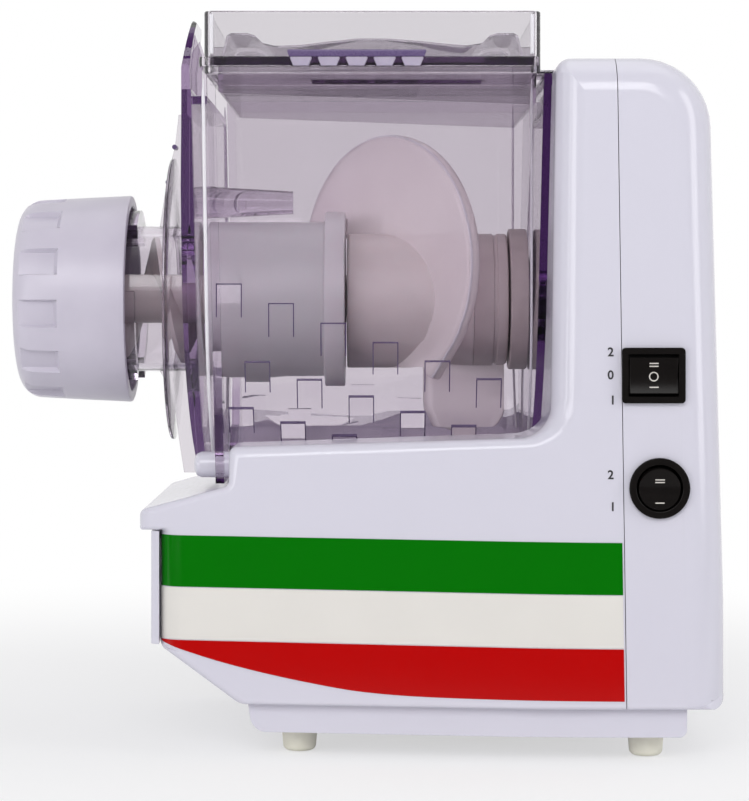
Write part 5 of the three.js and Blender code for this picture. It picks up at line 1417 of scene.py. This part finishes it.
def flat_ring(name, x, z, radius, material):
    """A thin ring seen from the near side, to be stamped."""
    a, b = radius - MARK_LINE / 2, radius + MARK_LINE / 2
    section = ((a, MARK_BACK), (b, MARK_BACK), (b, MARK_FRONT), (a, MARK_FRONT))
    rings = []
    for i in range(48):
        angle = 2 * math.pi * i / 48
        c, s = math.cos(angle), math.sin(angle)
        rings.append([(x + r * c, y, z + r * s) for r, y in section])
    return skinned(name, rings, material, endless=True)


# Marks on the rockers: kind, name, rocker, height, and length of the bar or radius of the ring
MARKS = (
    (flat_bar, "mark_ii_high", "power_rocker", 151.6, 3.4),
    (flat_bar, "mark_ii_low", "power_rocker", 150.5, 3.4),
    (flat_ring, "mark_o", "power_rocker", 146.6, 1.6),
    (flat_bar, "mark_i", "power_rocker", 142.6, 3.4),
    (flat_bar, "mode_ii_high", "mode_rocker", 107.7, 3.6),
    (flat_bar, "mode_ii_low", "mode_rocker", 106.7, 3.6),
    (flat_bar, "mode_i", "mode_rocker", 98.9, 3.4),
)


def figure(name, text, right, z, tall, material):
    """A printed figure whose right edge and middle height are given."""
    curve = bpy.data.curves.new(name, "FONT")
    curve.body = text
    curve.size = tall * 1.38 * MM
    curve.extrude = 0.08 * MM
    curve.offset = 0.1 * MM
    curve.resolution_u = 6
    holder = linked(name + "_curve", curve)
    mesh = bpy.data.meshes.new_from_object(evaluated(holder))
    bpy.data.objects.remove(holder)
    bpy.data.curves.remove(curve)
    mesh.transform(Matrix.Rotation(math.pi / 2, 4, "X"))
    xs = [v.co.x for v in mesh.vertices]
    zs = [v.co.z for v in mesh.vertices]
    shift = Vector((right * MM - max(xs), 0, z * MM - (min(zs) + max(zs)) / 2))
    mesh.transform(Matrix.Translation(shift))
    mesh.materials.clear()
    mesh.materials.append(material)
    return linked(name, mesh)


class PASTA_OT_labels(bpy.types.Operator):
    """Builds the printed figures beside the switches and the marks on the rockers"""

    bl_idname = "pasta.labels"
    bl_label = "Labels and marks"

    def execute(self, context):
        objects = bpy.data.objects
        for i, (text, z) in enumerate(FIGURES):
            made = figure(f"figure_{i}", text, FIGURE_RIGHT, z, FIGURE_TALL, MATERIALS["ink"])
            settle(stamp(made, objects["housing_front_half"], 0.02), "housing", "dark")
        for kind, name, rocker, z, size in MARKS:
            across = sum(at[0] for at in box_mm(rocker)) / 2
            made = kind(name, across, z, size, MATERIALS["mark"])
            settle(stamp(made, objects[rocker + "_finished"], 0.0), rocker, "white")
        return {"FINISHED"}


# Pieces that keep their solid's shape

REFINED = [
    # node, material, body, slot, edge
    ("base_plate", "shell_matt", "housing", "shell", 1.0),
    ("locating_stud_0", "shell", "housing", "shell", 0.3),
    ("locating_stud_1", "shell", "housing", "shell", 0.3),
    ("mixing_chamber", "clear", "chamber", "clear", 0.6),
    ("extrusion_tube", "milky", "plate", "milky", 0.6),
    ("chamber_collar", "grey", "chamber", "grey", 0.6),
    ("auger", "hub_pale", "paddle", "grey", 0.4),
    ("shaping_die", "milky", "die", "milky", 0.4),
    ("power_switch_body", "dark", "housing", "dark", 0.4),
    ("mode_switch_body", "dark", "housing", "dark", 0.4),
    ("power_rocker", "dark", "power_rocker", "dark", 0.4),
    ("mode_rocker", "dark", "mode_rocker", "dark", 0.4),
]
# Finishes of the nodes that stay as they are, by how their names start
NODE_FINISHES = {
    "base_screw_": "steel",
    "rear_screw_": "steel",
    "gearcase": "shell_matt",
    "output_bearing": "brass",
    "intermediate_axle": "steel",
    "intermediate_gear": "milky",
    "output_gear": "milky",
    "drive_shaft": "steel",
    "motor_can": "steel",
    "motor_stator": "winding",
    "motor_rotor": "iron",
    "motor_pinion": "brass",
    "motor_fan": "dark",
    "interlock_switch": "dark",
    "cord_gland": "dark",
}


class PASTA_OT_refined(bpy.types.Operator):
    """Builds the pieces that keep their solid's shape, with rounded edges"""

    bl_idname = "pasta.refined"
    bl_label = "Rounded pieces"

    def execute(self, context):
        clear_edge = context.scene.pasta_sizes.clear_edge / MM
        # The plate's ear above the chamber is seen through its whole width, and its darker copy of
        # the plastic paints shade there.
        plate = refined("front_plate", MATERIALS["clear_mid"], clear_edge)
        plate.data.materials.append(MATERIALS["clear_ear_painted_shade"])
        for face in plate.data.polygons:
            face.material_index = int(face.center.z > CHAMBER_TOP * MM)
        settle(plate, "plate", "clear", "front_plate")
        for node, finish, body, slot, edge in REFINED:
            made = refined(node, MATERIALS[finish], clear_edge if slot == "clear" else edge)
            settle(made, body, slot, node)
        return {"FINISHED"}


class PASTA_OT_nodes(bpy.types.Operator):
    """Gives the pieces that keep their solid their finish"""

    bl_idname = "pasta.nodes"
    bl_label = "Plain pieces"

    def execute(self, context):
        for name, node in frame["nodes"].items():
            for start, finish in NODE_FINISHES.items():
                if name.startswith(start):
                    node.data.materials.clear()
                    node.data.materials.append(MATERIALS[finish])
                    shade_smooth(node)
        return {"FINISHED"}


# Stage, in metres

IMAGE_WIDTH, IMAGE_HEIGHT = 749, 801
FOCAL_PIXELS, HORIZON_PIXEL = 2660, 300
CAMERA_AT = (0.00525, -1.1, 0.1755)
FLOOR_RADIUS, FLOOR_Z = 4, -0.0004
DIM_STUDIO = "5C5A60"
# Lamps: name, place, height that it points at, size, watts. None of them stands where the
# flat sides would mirror it to the camera.
LAMPS = (
    ("key_light", (-0.15, -1.8, 1.08), 0.13, (1.5, 0.8), 15.5),
    ("left_light", (-1.2, -1.5, 0.25), 0.13, (0.8, 0.8), 6.6),
    ("top_light", (0.2, 0.2, 1.6), 0.1, (1.4, 1.0), 3.4),
    ("strip_light", (-1.3, -0.8, 0.3), 0.15, (0.09, 1.3), 2.0),
    ("side_light", (1.4, -0.7, 0.6), 0.15, (0.5, 1.2), 6),
)


def area_light(name, stands_at, aim_z, size, power):
    """A soft rectangular lamp that points at the machine."""
    data = bpy.data.lights.new(name, "AREA")
    data.shape = "RECTANGLE"
    data.size, data.size_y = size
    data.energy = power
    made = linked(name, data)
    made.location = stands_at
    aim = Vector((0, 0, aim_z)) - Vector(stands_at)
    made.rotation_euler = aim.to_track_quat("-Z", "Y").to_euler()


def shows_backdrop(tree, path):
    """1 for the rays that show the background: the camera's, and those off gloss or through
    clear pieces."""
    first = reckoned(tree, "MAXIMUM", path.outputs["Is Camera Ray"], path.outputs["Is Glossy Ray"])
    return reckoned(tree, "MAXIMUM", first, path.outputs["Is Transmission Ray"])


def along_y(tree, vector):
    return add_node(tree, "ShaderNodeSeparateXYZ", links={"Vector": vector}).outputs["Y"]


def glow(tree, kind, code, strength):
    """The light that the floor or the world gives off."""
    values = {"Color": solid_colour(code), "Strength": strength}
    return add_node(tree, kind, values=values).outputs[0]


class PASTA_OT_stage(bpy.types.Operator):
    """Builds the floor, the light and the camera"""

    bl_idname = "pasta.stage"
    bl_label = "Stage"

    def execute(self, context):
        scene = context.scene
        scene.view_settings.view_transform = "Standard"
        self.camera(scene)
        self.floor()
        self.world(scene)
        for lamp in LAMPS:
            area_light(*lamp)
        return {"FINISHED"}

    def camera(self, scene):
        data = bpy.data.cameras.new("camera")
        longest = max(IMAGE_WIDTH, IMAGE_HEIGHT)
        data.sensor_width = 36
        data.lens = FOCAL_PIXELS * data.sensor_width / longest
        data.shift_y = (HORIZON_PIXEL - IMAGE_HEIGHT / 2) / longest
        data.clip_end = 30
        made = linked("camera", data)
        made.location = CAMERA_AT
        made.rotation_euler = (math.pi / 2, 0, 0)
        scene.camera = made

    def floor(self):
        """Painted board: white, dull, with a hardly visible tooth. It fades to the plain white
        of the backdrop away from the machine and keeps the shadow near it."""
        bm = bmesh.new()
        bmesh.ops.create_circle(bm, cap_ends=True, segments=128, radius=FLOOR_RADIUS)
        material, tree = new_material("painted_board")
        made = mesh_object(bm, "floor", material)
        made.location.z = FLOOR_Z
        colour = two_tones(tree, grain(tree, 3), linear("F6F6F7"), linear("F2F2F4"))
        board = add_node(
            tree,
            "ShaderNodeBsdfPrincipled",
            values={"Roughness": 0.85, "Specular IOR Level": 0.2},
            links={"Base Color": colour},
        )
        white = glow(tree, "ShaderNodeEmission", "FFFFFF", 1.0)
        at = add_node(tree, "ShaderNodeTexCoord").outputs["Object"]
        far = add_node(tree, "ShaderNodeVectorMath", {"operation": "LENGTH"}, links={0: at})
        fade = ranged(tree, far.outputs["Value"], (0.12, 0.6), (0.58, 1.0), "SMOOTHSTEP")
        path = add_node(tree, "ShaderNodeLightPath")
        share = reckoned(tree, "MULTIPLY", fade, shows_backdrop(tree, path))
        both = mixed(tree, share, board.outputs["BSDF"], white)
        # Gloss that faces the dim studio sees a dim floor there too.
        front = ranged(tree, along_y(tree, at), (-0.35, -0.12), (0.95, 0.0), "SMOOTHSTEP")
        in_gloss = reckoned(tree, "MULTIPLY", front, path.outputs["Is Glossy Ray"])
        final = mixed(tree, in_gloss, both, glow(tree, "ShaderNodeEmission", DIM_STUDIO, 0.4))
        add_node(tree, "ShaderNodeOutputMaterial", links={"Surface": final})

    def world(self, scene):
        """Soft light all round, before a backdrop that shows as plain white."""
        world = bpy.data.worlds.new("studio")
        scene.world = world
        world.use_nodes = True
        tree = world.node_tree
        tree.nodes.clear()
        kind = "ShaderNodeBackground"
        path = add_node(tree, "ShaderNodeLightPath")
        soft, plain = glow(tree, kind, "F4F4F8", 0.45), glow(tree, kind, "FFFFFF", 1.0)
        both = mixed(tree, shows_backdrop(tree, path), soft, plain)
        # The studio in front of the machine is dim, so gloss that faces it stays deep.
        towards = add_node(tree, "ShaderNodeTexCoord").outputs["Generated"]
        front = ranged(tree, along_y(tree, towards), (-0.55, 0.1), (1.0, 0.0), "SMOOTHSTEP")
        share = reckoned(tree, "MULTIPLY", front, path.outputs["Is Glossy Ray"])
        room = mixed(tree, share, both, glow(tree, kind, DIM_STUDIO, 0.6))
        add_node(tree, "ShaderNodeOutputWorld", links={"Surface": room})


OPERATORS = (
    PASTA_OT_stage,
    PASTA_OT_housing,
    PASTA_OT_stripes,
    PASTA_OT_nut,
    PASTA_OT_paddle,
    PASTA_OT_lid,
    PASTA_OT_pads,
    PASTA_OT_beads,
    PASTA_OT_drawer,
    PASTA_OT_feet,
    PASTA_OT_refined,
    PASTA_OT_labels,
    PASTA_OT_nodes,
)


class PASTA_PT_panel(bpy.types.Panel):
    """Lists the machine's settings and pieces"""

    bl_idname = "PASTA_PT_panel"
    bl_label = "Pasta Machine"
    bl_space_type = "VIEW_3D"
    bl_region_type = "UI"
    bl_category = "Pasta Machine"

    def draw(self, context):
        for settings in (context.scene.pasta_finish, context.scene.pasta_sizes):
            for key in settings.__annotations__:
                self.layout.prop(settings, key)
        for operator in OPERATORS:
            self.layout.operator(operator.bl_idname)


CLASSES = (FinishSettings, SizeSettings, *OPERATORS, PASTA_PT_panel)


def register():
    for made in CLASSES:
        bpy.utils.register_class(made)
    bpy.types.Scene.pasta_finish = bpy.props.PointerProperty(type=FinishSettings)
    bpy.types.Scene.pasta_sizes = bpy.props.PointerProperty(type=SizeSettings)


def unregister():
    del bpy.types.Scene.pasta_sizes
    del bpy.types.Scene.pasta_finish
    for made in reversed(CLASSES):
        bpy.utils.unregister_class(made)


def main():
    register()
    make_materials(bpy.context.scene.pasta_finish)
    for operator in OPERATORS:
        group, name = operator.bl_idname.split(".")
        getattr(getattr(bpy.ops, group), name)()


if __name__ == "__main__":
    main()
